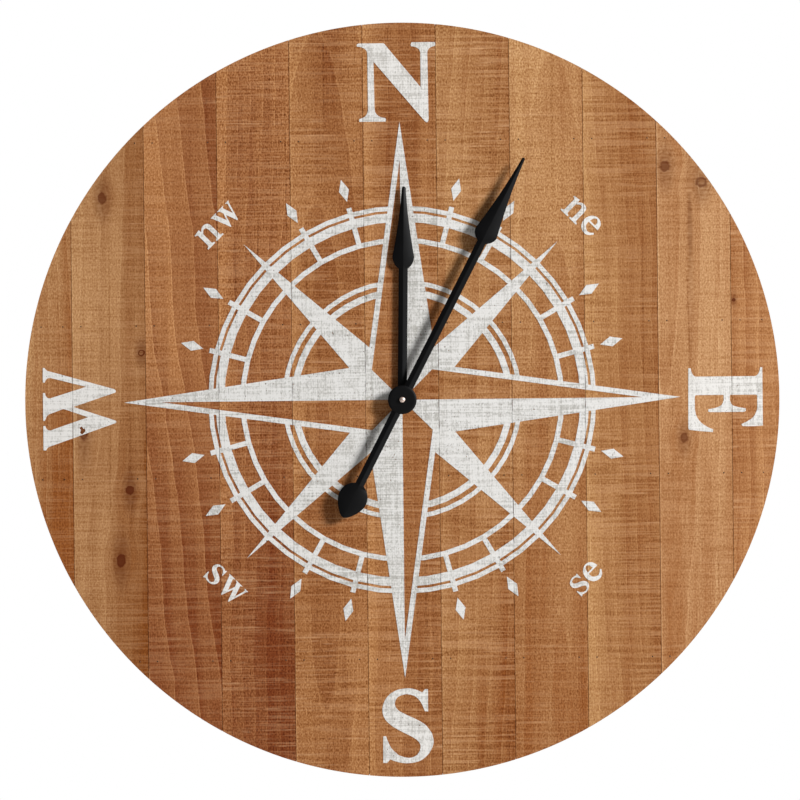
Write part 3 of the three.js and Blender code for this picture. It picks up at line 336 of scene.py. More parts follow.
class GroupBench(NodeBench):
    """Builds a shared effect as a node group with named inputs and outputs."""

    def __init__(self, effect: Effect, *inputs: str) -> None:
        """Starts the group.

        Args:
            effect: The effect to build.
            inputs: Names of its inputs.
        """
        super().__init__(bpy.data.node_groups.new(effect.value, "ShaderNodeTree"))
        self.open_sockets("INPUT", inputs)
        sockets = self.add("NodeGroupInput").outputs
        self.given = {label: Signal(self, sockets[label]) for label in inputs}

    def open_sockets(self, way: str, labels: Iterable[str]) -> None:
        """Makes sockets on one side of the group.

        Args:
            way: INPUT or OUTPUT.
            labels: The sockets' names.
        """
        for label in labels:
            kind = SOCKET_KINDS.get(label, SocketKind.VALUE)
            self.tree.interface.new_socket(name=label, in_out=way, socket_type=kind.value)

    def seeded(self) -> Signal:
        """The given coordinates, moved to a place of their own for each seed."""
        return self.vector("ADD", self.given["Coords"], self.scaled(SEED_STEP, self.given["Seed"]))

    def close(self, **results: Feed) -> bpy.types.NodeTree:
        """Makes the group's outputs and feeds them.

        Args:
            results: What each output carries, by name.

        Returns:
            The finished group.
        """
        self.open_sockets("OUTPUT", results)
        self.fill(self.add("NodeGroupOutput"), results)
        return self.tree


@dataclass
class EffectShelf:
    """Builds each shared effect once, as a shader node group."""

    groups: dict[Effect, bpy.types.NodeTree] = field(default_factory=dict)

    def get(self, effect: Effect) -> bpy.types.NodeTree:
        """Finds the group of an effect, and builds it on first use.

        Args:
            effect: The effect.

        Returns:
            Its group.
        """
        if effect not in self.groups:
            self.groups[effect] = getattr(self, "build_" + effect.value)()
        return self.groups[effect]

    def build_fibre_streaks(self) -> bpy.types.NodeTree:
        """Streaks along the grain: fibres, bands, dark veins, open pores, mottle and stain clouds.

        Returns:
            The group.
        """
        bench = GroupBench(Effect.FIBRE, "Coords", "Seed")
        spot = bench.seeded()
        return bench.close(
            Fine=bench.streaks(spot, 760.0, 34.0, 3.0),
            Broad=bench.streaks(spot, 75.0, 2.2, 3.0),
            Vein=bench.remap(bench.streaks(spot, 240.0, 1.8), 0.62, 0.70),
            Pore=bench.remap(bench.streaks(spot, 1300.0, 240.0), 0.58, 0.72),
            Mottle=bench.streaks(spot, 640.0, 400.0),
            Cloud=bench.streaks(spot, 14.0, 5.0, 3.0),
        )

    def build_saw_marks(self) -> bpy.types.NodeTree:
        """Marks that a saw left across the grain: lines of about 0.5, short dark dashes and pale streaks.

        Returns:
            The group.
        """
        bench = GroupBench(Effect.SAW, "Coords", "Seed")
        spot = bench.seeded()
        strokes, hairs, bands = (
            bench.remap(bench.streaks(spot, across, along), *SAW_SPAN, -reach, reach)
            for across, along, reach in ((15.0, 540.0, 0.5), (36.0, 860.0, 0.22), (10.0, 150.0, 0.3))
        )
        patches = bench.remap(bench.streaks(spot, 24.0, 16.0), *SAW_SPAN, 0.35, 1.0)
        lines = (strokes + hairs + bands) * patches + 0.5
        broken = bench.remap(bench.streaks(spot, 55.0, 260.0, 3.0), 0.40, 0.60, 0.1, 1.0)
        streak = bench.remap(bench.streaks(spot, 9.0, 320.0, 1.0), 0.64, 0.74)
        return bench.close(
            Lines=lines.clamped(),
            Dash=bench.remap(bench.streaks(spot, 48.0, 700.0), 0.62, 0.70),
            Streak=streak * broken,
        )

    def build_growth_rings(self) -> bpy.types.NodeTree:
        """Year rings round a heart line that leans through the plank, with a pale line at each ring's end.

        Returns:
            The group.
        """
        bench = GroupBench(Effect.RINGS, "Coords", *RING_INPUTS)
        given = bench.given
        spot = bench.seeded()
        x, y, z = bench.split(given["Coords"])
        slow = bench.streaks(spot, 2.0, 4.5, 1.0) - 0.5
        quick = bench.streaks(spot, 20.0, 30.0) - 0.5
        aside = x + slow * SLOW_WAVE + quick * QUICK_WAVE - given["Heart"] - given["Slant"] * z
        behind = y + given["Depth"] + given["Lean"] * z
        count = bench.math("SQRT", aside * aside + behind * behind) / given["Ring"]
        turn = bench.math("FRACT", count)
        close_turn = bench.math("FRACT", count * CLOSE_RINGS)
        line = RING_LINE / given["Ring"]
        return bench.close(
            Tone=bench.ramp(turn, ((0.0, 0.9), (0.25, 0.62), (0.55, 0.45), (0.97, 0.08), (1.0, 0.9))),
            Close=bench.ramp(close_turn, ((0.0, 0.85), (0.5, 0.55), (0.92, 0.10), (1.0, 0.85))),
            Line=bench.remap(turn, line, line * 0.3),
        )

    def build_knot(self) -> bpy.types.NodeTree:
        """A knot: its dark core, and how far it pushes the grain aside.

        Returns:
            The group.
        """
        bench = GroupBench(Effect.KNOT, "Coords", "Centre", "Radius", "Stretch", "Strength", "Hollow")
        given = bench.given
        x, _, z = bench.split(bench.vector("SUBTRACT", given["Coords"], given["Centre"]))
        z = z / given["Stretch"]
        ragged = bench.streaks(given["Coords"], 260.0, 190.0, 3.0) - 0.5
        reach = bench.math("SQRT", x * x + z * z) / given["Radius"] + ragged * 0.9
        tall = bench.math("SQRT", x * x + z * z * 0.2) / given["Radius"]
        pale = bench.remap(reach, 0.7, 0.3) * given["Hollow"]
        heart = bench.remap(reach, 1.3, 0.6, 0.0, 0.95) * (1.0 - pale)
        halo = bench.remap(tall, 2.6, 0.5, 0.0, 0.46)
        ring = bench.remap(abs(reach - 0.8), 0.3, 0.0, 0.0, 0.2)
        core = bench.math("MAXIMUM", heart, halo) + ring
        return bench.close(
            Core=core.clamped() * given["Strength"],
            Push=x * bench.remap(reach, 5.0, 0.0, 0.0, -0.9),
        )

    def build_sawn_wood(self) -> bpy.types.NodeTree:
        """Sawn, stained wood from its two tones: grain along z, depth along y.

        Returns:
            The group.
        """
        bench = GroupBench(Effect.WOOD, "Coords", "Light", "Dark", "Push", "Core", "Edge", *WOOD_INPUTS)
        given = bench.given
        x, y, z = bench.split(given["Coords"])
        spot = bench.joined(x + given["Push"], y, z)
        rings = bench.place(Effect.RINGS, Coords=spot, **{label: given[label] for label in RING_INPUTS})
        fibre = bench.place(Effect.FIBRE, Coords=spot, Seed=given["Seed"])
        saw = bench.place(Effect.SAW, Coords=given["Coords"], Seed=given["Seed"])
        side = x / given["Edge"]
        tone = (rings["Tone"] - 0.5) * given["Figure"] + (rings["Close"] - 0.5) * 0.12
        tone = tone + (fibre["Broad"] - 0.5) * 0.85 + (fibre["Cloud"] - 0.5) * 0.9
        # Over the whole plank, the bow adds nothing to the mean tone.
        bow = (side * side - 1 / 3) * given["Bow"]
        tone = tone + x * given["Across"] + z * given["Along"] + bow + 0.5
        colour = bench.blend(tone.clamped(), given["Dark"], given["Light"])
        marks = (saw["Lines"] - 0.5) * given["Saw"]
        cuts = bench.math("MINIMUM", marks, 0.0) * 0.7
        # Painted shade: both edges of each plank are darkened along its seams.
        seam_edge_shade = bench.remap(abs(side), 0.972, 0.992)
        rubbed = bench.remap(side, -0.94, -0.975)
        shade = given["Lift"] + (fibre["Fine"] - 0.5) * given["Fibre"] + cuts
        shade = shade + (fibre["Mottle"] - 0.5) * given["Rough"]
        shade = shade - fibre["Vein"] * given["Fibre"] * 0.4 - fibre["Pore"] * 0.12
        shade = shade - saw["Dash"] * given["Saw"] * 0.2 - seam_edge_shade * 0.18
        shade = shade + rubbed * given["Rub"] + rings["Line"] * given["Figure"] * 0.6
        colour = bench.vector("MULTIPLY", colour, bench.joined(*(shade ** power for power in WARMTH)))
        dusty = bench.math("MAXIMUM", marks, 0.0) * 0.8 + saw["Streak"] * given["Saw"] * 0.7
        colour = bench.blend(dusty.clamped(), colour, SAW_DUST)
        return bench.close(
            Color=bench.blend(given["Core"], colour, KNOT_BROWN),
            Roughness=bench.remap(fibre["Fine"], *NOISE_SPAN, 0.72, 0.58),
            Height=fibre["Fine"] * 0.6 + marks,
        )

    def build_plank_seam(self) -> bpy.types.NodeTree:
        """The number of the plank at a place, counted from the middle, and the open seam beside it.

        Returns:
            The group.
        """
        bench = GroupBench(Effect.SEAM, "Coords")
        x, _, _ = bench.split(bench.given["Coords"])
        count = x / PLANK_PITCH
        number = bench.math("ROUND", count)
        half = SEAM_HALF / PLANK_PITCH
        seam = bench.remap(abs(count - number), 0.5 - 1.6 * half, 0.5 - 0.6 * half)
        return bench.close(Number=number, Seam=seam)

    def build_fine_speckle(self) -> bpy.types.NodeTree:
        """Even small-scale speckle, for moulded, cast and plated surfaces.

        Returns:
            The group.
        """
        bench = GroupBench(Effect.SPECKLE, "Coords", "Scale")
        spot = bench.scaled(bench.given["Coords"], bench.given["Scale"])
        return bench.close(
            Value=bench.streaks(spot, 1.0, 1.0, 3.0),
            Cloud=bench.streaks(spot, 0.04, 0.04, 3.0),
        )


SHELF = EffectShelf()


@dataclass(frozen=True)
class Finish:
    """A surface finish, which makes one material."""

    name: str

    def material(self) -> bpy.types.Material:
        """The finish as a material, made on first use.

        Returns:
            The material.
        """
        label = "finish_" + self.name
        known = bpy.data.materials.get(label)
        if known:
            return known
        made = bpy.data.materials.new(label)
        made.use_nodes = True
        self.wire(NodeBench(made.node_tree), made.node_tree.nodes["Principled BSDF"])
        return made

    def wire(self, bench: NodeBench, shader: bpy.types.Node) -> None:
        """Wires the finish's nodes into the shader."""
        raise NotImplementedError

    def dial_coords(self, bench: NodeBench) -> Signal:
        """Places measured from the middle of the dial's front face."""
        return bench.vector("SUBTRACT", bench.object_place(), (0.0, DIAL_FRONT, DIAL_Z))


class Grain(Enum):
    """Which way a board's grain runs."""

    UPRIGHT = "upright"
    LEVEL = "level"


@dataclass(frozen=True)
class Knot:
    """A knot in a plank, from the dial's middle in metres. It stretches along the grain."""

    x: float
    z: float
    radius: float
    stretch: float = 1.0
    strength: float = 1.0
    hollow: float = 0.0


class Stain(Enum):
    """Tones of the stained boards, each as its light and its dark."""

    OLIVE = ((188, 141, 95), (128, 71, 27))
    RUSSET = ((174, 118, 72), (118, 57, 24))
    AMBER = ((182, 129, 81), (126, 67, 27))
    HONEY = ((189, 142, 94), (136, 76, 32))
    SAND = ((198, 153, 108), (148, 89, 43))
    PINE = ((214, 176, 130), (184, 138, 92))


@dataclass(frozen=True)
class SawnWood(Finish):
    """Stained, rough-sawn board.

    Heart and depth place the tree's heart, slant and lean tilt it along the board, and ring is the rings'
    width. Figure, saw, fibre and rough are the strengths of the rings, the saw marks, the fibres and the
    mottle. Across and along are the tone's change per metre, bow lifts the sides above the middle, rub
    pales the left edge, lift brightens it all, and middle is where the board's middle lies.
    """

    stain: Stain
    seed: float
    heart: float = 0.0
    depth: float = 0.05
    slant: float = 0.0
    lean: float = 0.0
    ring: float = 0.02
    figure: float = 0.4
    across: float = 0.0
    along: float = 0.0
    saw: float = 0.5
    lift: float = 1.0
    bow: float = 0.0
    fibre: float = 0.5
    rub: float = 0.06
    rough: float = 1.8
    middle: float = 0.0
    grain: Grain = Grain.UPRIGHT
    knots: tuple[Knot, ...] = ()

    def wire(self, bench: NodeBench, shader: bpy.types.Node) -> None:
        """Wires grain, saw marks and knots into the shader.

        Args:
            bench: The material's bench.
            shader: Its shader.
        """
        x, y, z = bench.split(self.dial_coords(bench))
        if self.grain is Grain.LEVEL:
            x, z = z, x
        spot = bench.joined(x - self.middle, y, z)
        core: Feed = 0.0
        push: Feed = 0.0
        for knot in self.knots:
            made = bench.place(
                Effect.KNOT, Coords=spot, Centre=(knot.x - self.middle, 0.0, knot.z), Radius=knot.radius,
                Stretch=knot.stretch, Strength=knot.strength, Hollow=knot.hollow,
            )
            core = bench.math("MAXIMUM", core, made["Core"])
            push = made["Push"] + push
        light, dark = (linear(tone) for tone in self.stain.value)
        look = {label: getattr(self, label.lower()) for label in WOOD_INPUTS}
        wood = bench.place(
            Effect.WOOD, Coords=spot, Light=light, Dark=dark, Push=push, Core=core, Edge=PLANK_PITCH / 2,
            **look,
        )
        bench.fill(shader, {
            "Base Color": wood["Color"],
            "Roughness": wood["Roughness"],
            "Normal": bench.bump(wood["Height"], strength=0.35, distance=RELIEF),
            "Specular IOR Level": 0.1,
        })


@dataclass(frozen=True)
class WornPaint(Finish):
    """Thin white paint on sawn boards: the saw marks and the grain show, and seams and specks are bare."""

    light: Rgb
    shade: Rgb
    wear: float

    def wire(self, bench: NodeBench, shader: bpy.types.Node) -> None:
        """Wires the coat's colour, gaps and relief into the shader.

        Args:
            bench: The material's bench.
            shader: Its shader.
        """
        spot = self.dial_coords(bench)
        seam = bench.place(Effect.SEAM, Coords=spot)
        x, y, z = bench.split(spot)
        own = bench.joined(x - seam["Number"] * PLANK_PITCH, y, z)
        saw = bench.place(Effect.SAW, Coords=own, Seed=seam["Number"])
        fibre = bench.place(Effect.FIBRE, Coords=own, Seed=seam["Number"])
        relief = fibre["Fine"] * 0.35 + saw["Lines"] * 0.15 + fibre["Mottle"] * 0.5
        hollow = bench.streaks(own, 520.0, 300.0, 4.0) - (relief - 0.5) * 0.5
        bare = bench.remap(hollow, 0.80 - self.wear, 0.88 - self.wear)
        pits = bench.remap(bench.streaks(own, 640.0, 420.0, 3.0), 0.64, 0.70)
        cluster = bench.remap(bench.streaks(own, 26.0, 26.0), 0.5, 0.66)
        bare = bench.math("MAXIMUM", bare, pits * cluster)
        parted = bench.remap(bench.streaks(spot, 2.0, 60.0, 3.0), 0.38, 0.6, 0.15, 0.85)
        gaps = bench.math("MAXIMUM", bare, seam["Seam"] * parted)
        brushed = bench.streaks(own, 30.0, 210.0, 3.0)
        dragged = bench.streaks(own, 170.0, 12.0, 3.0)
        coat = bench.math("FRACT", seam["Number"] * GOLDEN_SHARE)
        cuts = bench.remap(bench.streaks(own, 12.0, 600.0), 0.56, 0.68)
        nicks = bench.remap(bench.streaks(own, 820.0, 22.0), 0.58, 0.70)
        tone = bench.remap(relief + brushed * 0.3 + dragged * 0.3 + coat * 0.08, 0.62, 0.92)
        tone = tone - cuts * 0.4 - nicks * 0.3
        bench.fill(shader, {
            "Base Color": bench.blend(tone.clamped(), linear(self.shade), linear(self.light)),
            "Alpha": (1.0 - gaps).clamped(),
            "Roughness": bench.remap(relief, 0.4, 0.6, 0.7, 0.55),
            "Normal": bench.bump(relief, strength=0.3, distance=RELIEF),
            "Specular IOR Level": 0.2,
        })


@dataclass(frozen=True)
class Moulded(Finish):
    """A coloured solid with a fine skin: plastic, rubber, lacquer or enamel."""

    colour: Rgb
    faded: Rgb
    roughness: float
    scale: float
    depth: float = 0.02 * MM
    specular: float = 0.5
    spread: float = 0.06

    def wire(self, bench: NodeBench, shader: bpy.types.Node) -> None:
        """Wires the skin's speckle into the shader.

        Args:
            bench: The material's bench.
            shader: Its shader.
        """
        skin = bench.place(Effect.SPECKLE, Coords=bench.object_place(), Scale=self.scale)
        faded = bench.remap(skin["Cloud"], *CLOUD_SPAN)
        smoothest, roughest = self.roughness - self.spread, self.roughness + self.spread
        bench.fill(shader, {
            "Base Color": bench.blend(faded, linear(self.colour), linear(self.faded)),
            "Roughness": bench.remap(skin["Value"], *NOISE_SPAN, smoothest, roughest),
            "Normal": bench.bump(skin["Value"], strength=0.25, distance=self.depth),
            "Specular IOR Level": self.specular,
        })


@dataclass(frozen=True)
class Metal(Finish):
    """Bare or plated metal with fine brush lines or speckle."""

    colour: Rgb
    dulled: Rgb
    roughness: float
    stretch: Triple = (900.0, 900.0, 900.0)
    cloud_scale: float = 3000.0
    spread: float = 0.07

    def wire(self, bench: NodeBench, shader: bpy.types.Node) -> None:
        """Wires brush lines and a dulled cloud into the shader.

        Args:
            bench: The material's bench.
            shader: Its shader.
        """
        place = bench.object_place()
        lines = bench.noise(place, self.stretch, 3.0)
        skin = bench.place(Effect.SPECKLE, Coords=place, Scale=self.cloud_scale)
        dulled = bench.remap(skin["Cloud"], *CLOUD_SPAN)
        smoothest, roughest = self.roughness - self.spread, self.roughness + self.spread
        bench.fill(shader, {
            "Base Color": bench.blend(dulled, linear(self.colour), linear(self.dulled)),
            "Roughness": bench.remap(lines, *NOISE_SPAN, smoothest, roughest),
            "Normal": bench.bump(lines, strength=0.15, distance=BRUSH_RELIEF),
            "Metallic": 1.0,
        })


@dataclass(frozen=True)
class PaleFloor(Finish):
    """The studio's pale floor, which the camera sees almost white."""

    colour: Rgb
    glow: float

    def wire(self, bench: NodeBench, shader: bpy.types.Node) -> None:
        """Wires a faint mottle and the glow that only the camera sees.

        Args:
            bench: The material's bench.
            shader: Its shader.
        """
        mottle = bench.streaks(bench.object_place(), 3.0, 3.0, 3.0)
        bench.fill(shader, {
            "Base Color": linear(self.colour),
            "Roughness": bench.remap(mottle, *NOISE_SPAN, 0.75, 0.85),
            "Specular IOR Level": 0.1,
            "Emission Color": WHITE,
            "Emission Strength": bench.run("ShaderNodeLightPath", {}, "Is Camera Ray") * self.glow,
        })


LETTER_PAINT = WornPaint("letter_paint", light=(225, 222, 218), shade=(184, 180, 174), wear=0.11)
ROSE_PAINT = WornPaint("rose_paint", light=(220, 218, 215), shade=(174, 171, 165), wear=0.12)
HAND_BLACK = Moulded(
    "hand_black", (3, 3, 4), (5, 5, 6), roughness=0.52, scale=2600.0, depth=0.01 * MM, specular=0.16
)
# Painted shade: dark brown for the strips in the plank seams, which stand in for the shade inside the gaps.
SEAM_SHADE = Moulded(
    "seam_shade", (78, 44, 24), (92, 54, 30), roughness=0.8, scale=900.0, depth=0.05 * MM, specular=0.1
)
RUBBER = Moulded(
    "gasket_rubber", (32, 32, 33), (42, 42, 43), roughness=0.8, scale=1800.0, depth=0.05 * MM, specular=0.3
)
CASE_BLACK = Moulded(
    "case_plastic", (24, 24, 25), (31, 31, 32), roughness=0.5, scale=3200.0, depth=0.03 * MM
)
WHEEL_WHITE = Moulded(
    "wheel_plastic", (226, 222, 210), (212, 206, 190), roughness=0.42, scale=2400.0, depth=0.01 * MM
)
KNOB_GREY = Moulded(
    "knob_plastic", (190, 188, 180), (178, 175, 166), roughness=0.45, scale=2400.0, depth=0.01 * MM
)
CELL_JACKET = Moulded(
    "cell_jacket", (52, 66, 80), (44, 56, 70), roughness=0.34, scale=1600.0, depth=0.01 * MM
)
CELL_RING = Moulded(
    "cell_collar", (196, 160, 82), (184, 146, 70), roughness=0.34, scale=1600.0, depth=0.01 * MM
)
BOARD_GREEN = Moulded("circuit_board", (30, 92, 58), (24, 78, 48), roughness=0.4, scale=1500.0)
BRIGHT_NUT = Metal("bright_nut", (246, 226, 214), (232, 210, 198), roughness=0.46)
BRASS = Metal("brass", (201, 166, 96), (170, 135, 74), roughness=0.30)
BRAD = Metal("brad_head", (104, 78, 60), (74, 54, 42), roughness=0.5)
MAGNET = Metal("magnet_grey", (86, 86, 90), (70, 70, 74), roughness=0.5)
ZINC = Metal(
    "zinc_steel", (206, 208, 209), (182, 184, 187), roughness=0.50, stretch=(1200.0, 40.0, 40.0)
)
COPPER = Metal(
    "coil_copper", (184, 104, 62), (150, 80, 46), roughness=0.34, stretch=(6000.0, 60.0, 60.0)
)
FLOOR_PAINT = PaleFloor("floor_paint", (232, 232, 230), glow=0.6)


@dataclass
class PlankBoard:
    """The round board: eleven planks on four battens, the brads that hold them and painted shade in the
    seams.

    The brad's shoulder and foot are shares of its radius and crown, and the shade strips' are shares of the
    seam.
    """

    planks: int = 11
    seam_round: float = 0.6 * MM
    batten_round: float = 1.2 * MM
    brad_radius: float = 0.85 * MM
    brad_crown: float = 0.25 * MM
    brad_inset: float = 9.5 * MM
    brad_shoulder: Point = (0.6, 0.8)
    brad_foot_share: float = 0.8
    brad_facets: int = 14
    batten_seed: float = 20.0
    rim_margin: float = 6.0 * MM
    shade_strip_depth: float = 1.2 * MM
    shade_strip_half_share: float = 0.45
    shade_strip_corner_share: float = 0.8

    def plank_wood(self, number: int, stain: Stain, **look: float | tuple[Knot, ...]) -> SawnWood:
        """The wood of one plank, counted from the left, with a seed and a middle of its own."""
        place = number - (self.planks + 1) // 2
        return SawnWood(f"plank_wood_{number:02d}", stain, float(place), middle=place * PLANK_PITCH, **look)

    def plank_finishes(self) -> list[SawnWood]:
        """The wood of each plank, from left to right.

        Returns:
            Eleven finishes.
        """
        left_knots = (
            Knot(-0.2762, 0.0525, 4.0 * MM, hollow=0.8),
            Knot(-0.2897, -0.093, 4.8 * MM, stretch=1.2),
            Knot(-0.3, -0.1675, 5.4 * MM, stretch=1.5),
            Knot(-0.338, -0.0301, 5.0 * MM, stretch=2.2, strength=0.85),
            Knot(-0.3165, 0.217, 5.6 * MM, stretch=1.2, strength=0.85),
        )
        right_knots = (
            Knot(0.281, 0.2445, 5.8 * MM, stretch=1.2, strength=0.8),
            Knot(0.3195, 0.2275, 6.4 * MM, strength=0.8, hollow=0.3),
            Knot(0.2985, -0.0435, 4.4 * MM, stretch=1.2, strength=0.8),
            Knot(0.307, 0.18, 2.4 * MM, stretch=16.0, strength=0.35),
        )
        rim_knot = (Knot(0.3526, 0.1021, 2.0 * MM),)
        wood = self.plank_wood
        return [
            wood(1, Stain.HONEY, lift=1.09, across=-10.0, along=1.2, saw=0.32, fibre=0.7,
                 heart=-0.06, depth=0.03, ring=0.011, figure=0.25),
            wood(2, Stain.OLIVE, lift=1.0, across=-8.0, along=0.55, saw=0.34, rough=1.4, rub=0.1,
                 heart=0.05, depth=0.05, slant=0.05, ring=0.016, figure=0.17, knots=left_knots),
            wood(3, Stain.RUSSET, lift=1.03, across=-7.0, along=0.64, saw=0.33, fibre=0.4, rough=2.0,
                 heart=0.075, depth=0.012, slant=-0.1, ring=0.024, figure=0.5),
            wood(4, Stain.RUSSET, lift=0.96, across=-6.0, along=0.9, bow=0.3, saw=0.45, fibre=0.7, rough=2.4,
                 heart=0.06, depth=0.02, slant=0.02, ring=0.012, figure=0.28),
            wood(5, Stain.AMBER, lift=0.945, across=-3.0, bow=0.4, saw=0.48, rub=0.12, rough=2.1,
                 heart=-0.01, depth=0.015, lean=0.1, ring=0.018, figure=0.25),
            wood(6, Stain.AMBER, lift=0.945, across=-3.5, bow=0.3, saw=0.62, fibre=0.35,
                 heart=0.07, depth=0.03, ring=0.013, figure=0.2),
            wood(7, Stain.HONEY, lift=0.945, across=-3.5, along=0.2, saw=0.57, fibre=0.35,
                 heart=-0.08, depth=0.02, slant=0.03, ring=0.017, figure=0.25),
            wood(8, Stain.HONEY, lift=0.995, across=-3.0, along=0.55, saw=0.32, fibre=0.35, rough=2.0,
                 heart=0.01, depth=0.03, lean=0.07, ring=0.014, figure=0.15),
            wood(9, Stain.HONEY, lift=0.905, across=-8.0, bow=0.25, along=0.1, saw=0.48, fibre=0.45,
                 rough=1.4, heart=0.08, depth=0.02, slant=-0.03, ring=0.012, figure=0.2),
            wood(10, Stain.SAND, lift=0.965, across=1.5, along=0.3, saw=0.3, rub=0.3, rough=1.5,
                 heart=-0.03, depth=0.02, lean=-0.06, ring=0.02, figure=0.25, knots=right_knots),
            wood(11, Stain.AMBER, lift=1.18, across=6.5, saw=0.5,
                 heart=0.05, depth=0.04, ring=0.012, figure=0.25, knots=rim_knot),
        ]

    def dress(self) -> None:
        """Gives the planks and battens their wood and their softened edges."""
        for number, finish in enumerate(self.plank_finishes(), start=1):
            dress_node(f"plank_{number:02d}", finish, self.seam_round)
        for number, (row, middle) in enumerate(BATTEN_ROWS.items()):
            finish = SawnWood(
                "batten_" + row, Stain.PINE, self.batten_seed + number, heart=0.02 * number, depth=0.04,
                ring=0.007, figure=0.35, saw=0.12, rough=0.4, grain=Grain.LEVEL, middle=middle,
            )
            dress_node("batten_" + row, finish, self.batten_round)

    def brad_places(self) -> list[Point]:
        """Where the brads sit, from the dial's middle.

        Returns:
            Pairs of x and z.
        """
        places = []
        for row in sorted(BATTEN_ROWS.values()):
            chord = math.sqrt(DIAL_RADIUS ** 2 - row ** 2)
            for number in range(-(self.planks // 2), self.planks // 2 + 1):
                middle = number * PLANK_PITCH
                left = max(middle - PLANK_PITCH / 2, -chord) + self.brad_inset
                right = min(middle + PLANK_PITCH / 2, chord) - self.brad_inset
                if right - left < -self.brad_inset:
                    continue
                if right - left < self.brad_inset:
                    left = right = (left + right) / 2
                places += [
                    (x, row) for x in sorted({left, right})
                    if math.hypot(x, row) < DIAL_RADIUS - self.rim_margin
                ]
        return places

    def build_seam_shade_strips(self) -> bpy.types.Object:
        """Builds dark strips in the seams between the planks, as one piece: painted shade that keeps the gaps
        dark.

        Returns:
            The piece.
        """
        mesh = bmesh.new()
        half_gap = (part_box("plank_06")[0].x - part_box("plank_05")[1].x) * self.shade_strip_half_share
        front, back = DIAL_FRONT + self.shade_strip_depth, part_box("plank_06")[1].y - self.shade_strip_depth
        for number in range(1, self.planks):
            x = (number - self.planks / 2) * PLANK_PITCH
            half = math.sqrt((DIAL_RADIUS - self.shade_strip_depth) ** 2 - x ** 2)
            low, high = (x - half_gap, DIAL_Z - half), (x + half_gap, DIAL_Z + half)
            add_slab(mesh, [rounded_box(low, high, half_gap * self.shade_strip_corner_share, steps=2)], front, back)
        return make_piece("seam_shade_strips", mesh, SEAM_SHADE, "clock_body", smooth=False)

    def build_brads(self) -> bpy.types.Object:
        """Builds all brad heads as one piece.

        Returns:
            The piece.
        """
        mesh = bmesh.new()
        radius, rise = self.brad_radius, self.brad_crown
        out, up = self.brad_shoulder
        profile = [
            (0.0, DIAL_FRONT - rise), (out * radius, DIAL_FRONT - up * rise), (radius, DIAL_FRONT),
            (self.brad_foot_share * radius, DIAL_FRONT + rise), (0.0, DIAL_FRONT + rise),
        ]
        for x, z in self.brad_places():
            turn_profile(mesh, profile, (x, DIAL_Z + z), self.brad_facets)
        return make_piece("brad_heads", mesh, BRAD, "clock_body")


class Outline:
    """A closed outline drawn point by point."""

    def __init__(self, x: float, y: float) -> None:
        """Starts at a point."""
        self.points: list[Point] = [(x, y)]

    def line(self, *points: Point) -> "Outline":
        """Goes on straight to each point in turn."""
        self.points += points
        return self

    def bend(self, *points: Point, steps: int = 8) -> "Outline":
        """Goes on along a curve to the last point, drawn towards the points before it.

        Args:
            points: One or more control points and the curve's end.
            steps: Its number of straight pieces.

        Returns:
            The outline itself.
        """
        corners = [self.points[-1], *points]
        order = len(points)
        for step in range(1, steps + 1):
            t = step / steps
            weights = [math.comb(order, k) * t ** k * (1 - t) ** (order - k) for k in range(order + 1)]
            self.points.append(tuple(sum(map(math.prod, zip(weights, axis))) for axis in zip(*corners)))
        return self

    def through(self, *points: Point, steps: int = 7) -> "Outline":
        """Goes on along a smooth curve through all the points.

        Args:
            points: The points to pass.
            steps: Straight pieces between two points.

        Returns:
            The outline itself.
        """
        run = [self.points[-1], self.points[-1], *points, points[-1]]
        for corners in zip(run, run[1:], run[2:], run[3:]):
            for step in range(1, steps + 1):
                t = step / steps
                self.points.append(tuple(
                    q + t / 2 * (r - p + t * (2 * p - 5 * q + 4 * r - s + t * (3 * q - p - 3 * r + s)))
                    for p, q, r, s in zip(*corners)
                ))
        return self


@dataclass
class Letter:
    """A serif letter: its outline, its width, its height and its holes, in millimetres."""

    outline: Outline
    width: float
    height: float
    holes: tuple[Outline, ...] = ()

    def resized(self, width: float, height: float) -> "Letter":
        """The letter drawn at another size, without its holes.

        Args:
            width: Its new width, in millimetres.
            height: Its new height, in millimetres.

        Returns:
            The redrawn letter.
        """
        copy = Outline(0, 0)
        copy.points = [(x * width / self.width, y * height / self.height) for x, y in self.outline.points]
        return Letter(copy, width, height)


def letter_n() -> Letter:
    """Draws the capital N.

    Returns:
        The letter.
    """
    shape = Outline(1.9, 0).line((1.9, 3.0)).bend((11.3, 4.5), (11.3, 14.0)).line((11.3, 71.5))
    shape.bend((11.0, 79.0), (0.3, 79.8)).line((0, 81.6), (1.5, 83), (28.2, 83)).bend((30.2, 82), (31.2, 80))
    shape.line((67.5, 36), (67.5, 72.5)).bend((66.8, 78.8), (57.8, 79.6)).line((57.2, 81.6), (58.4, 83.9))
    shape.line((82.6, 83.9), (83.6, 81.6), (82.8, 79.6)).bend((75.2, 78.6), (74.9, 72.5))
    shape.line((75.5, 2.6)).bend((75.2, -1.2), (73.6, -1.2)).bend((71.8, -0.6), (70.4, 1.3))
    shape.line((17.7, 63.6), (18.3, 14)).bend((18.6, 4.8), (29.3, 3.9)).line((30.4, 2.2), (29.9, 0))
    return Letter(shape, width=83.6, height=84.0)


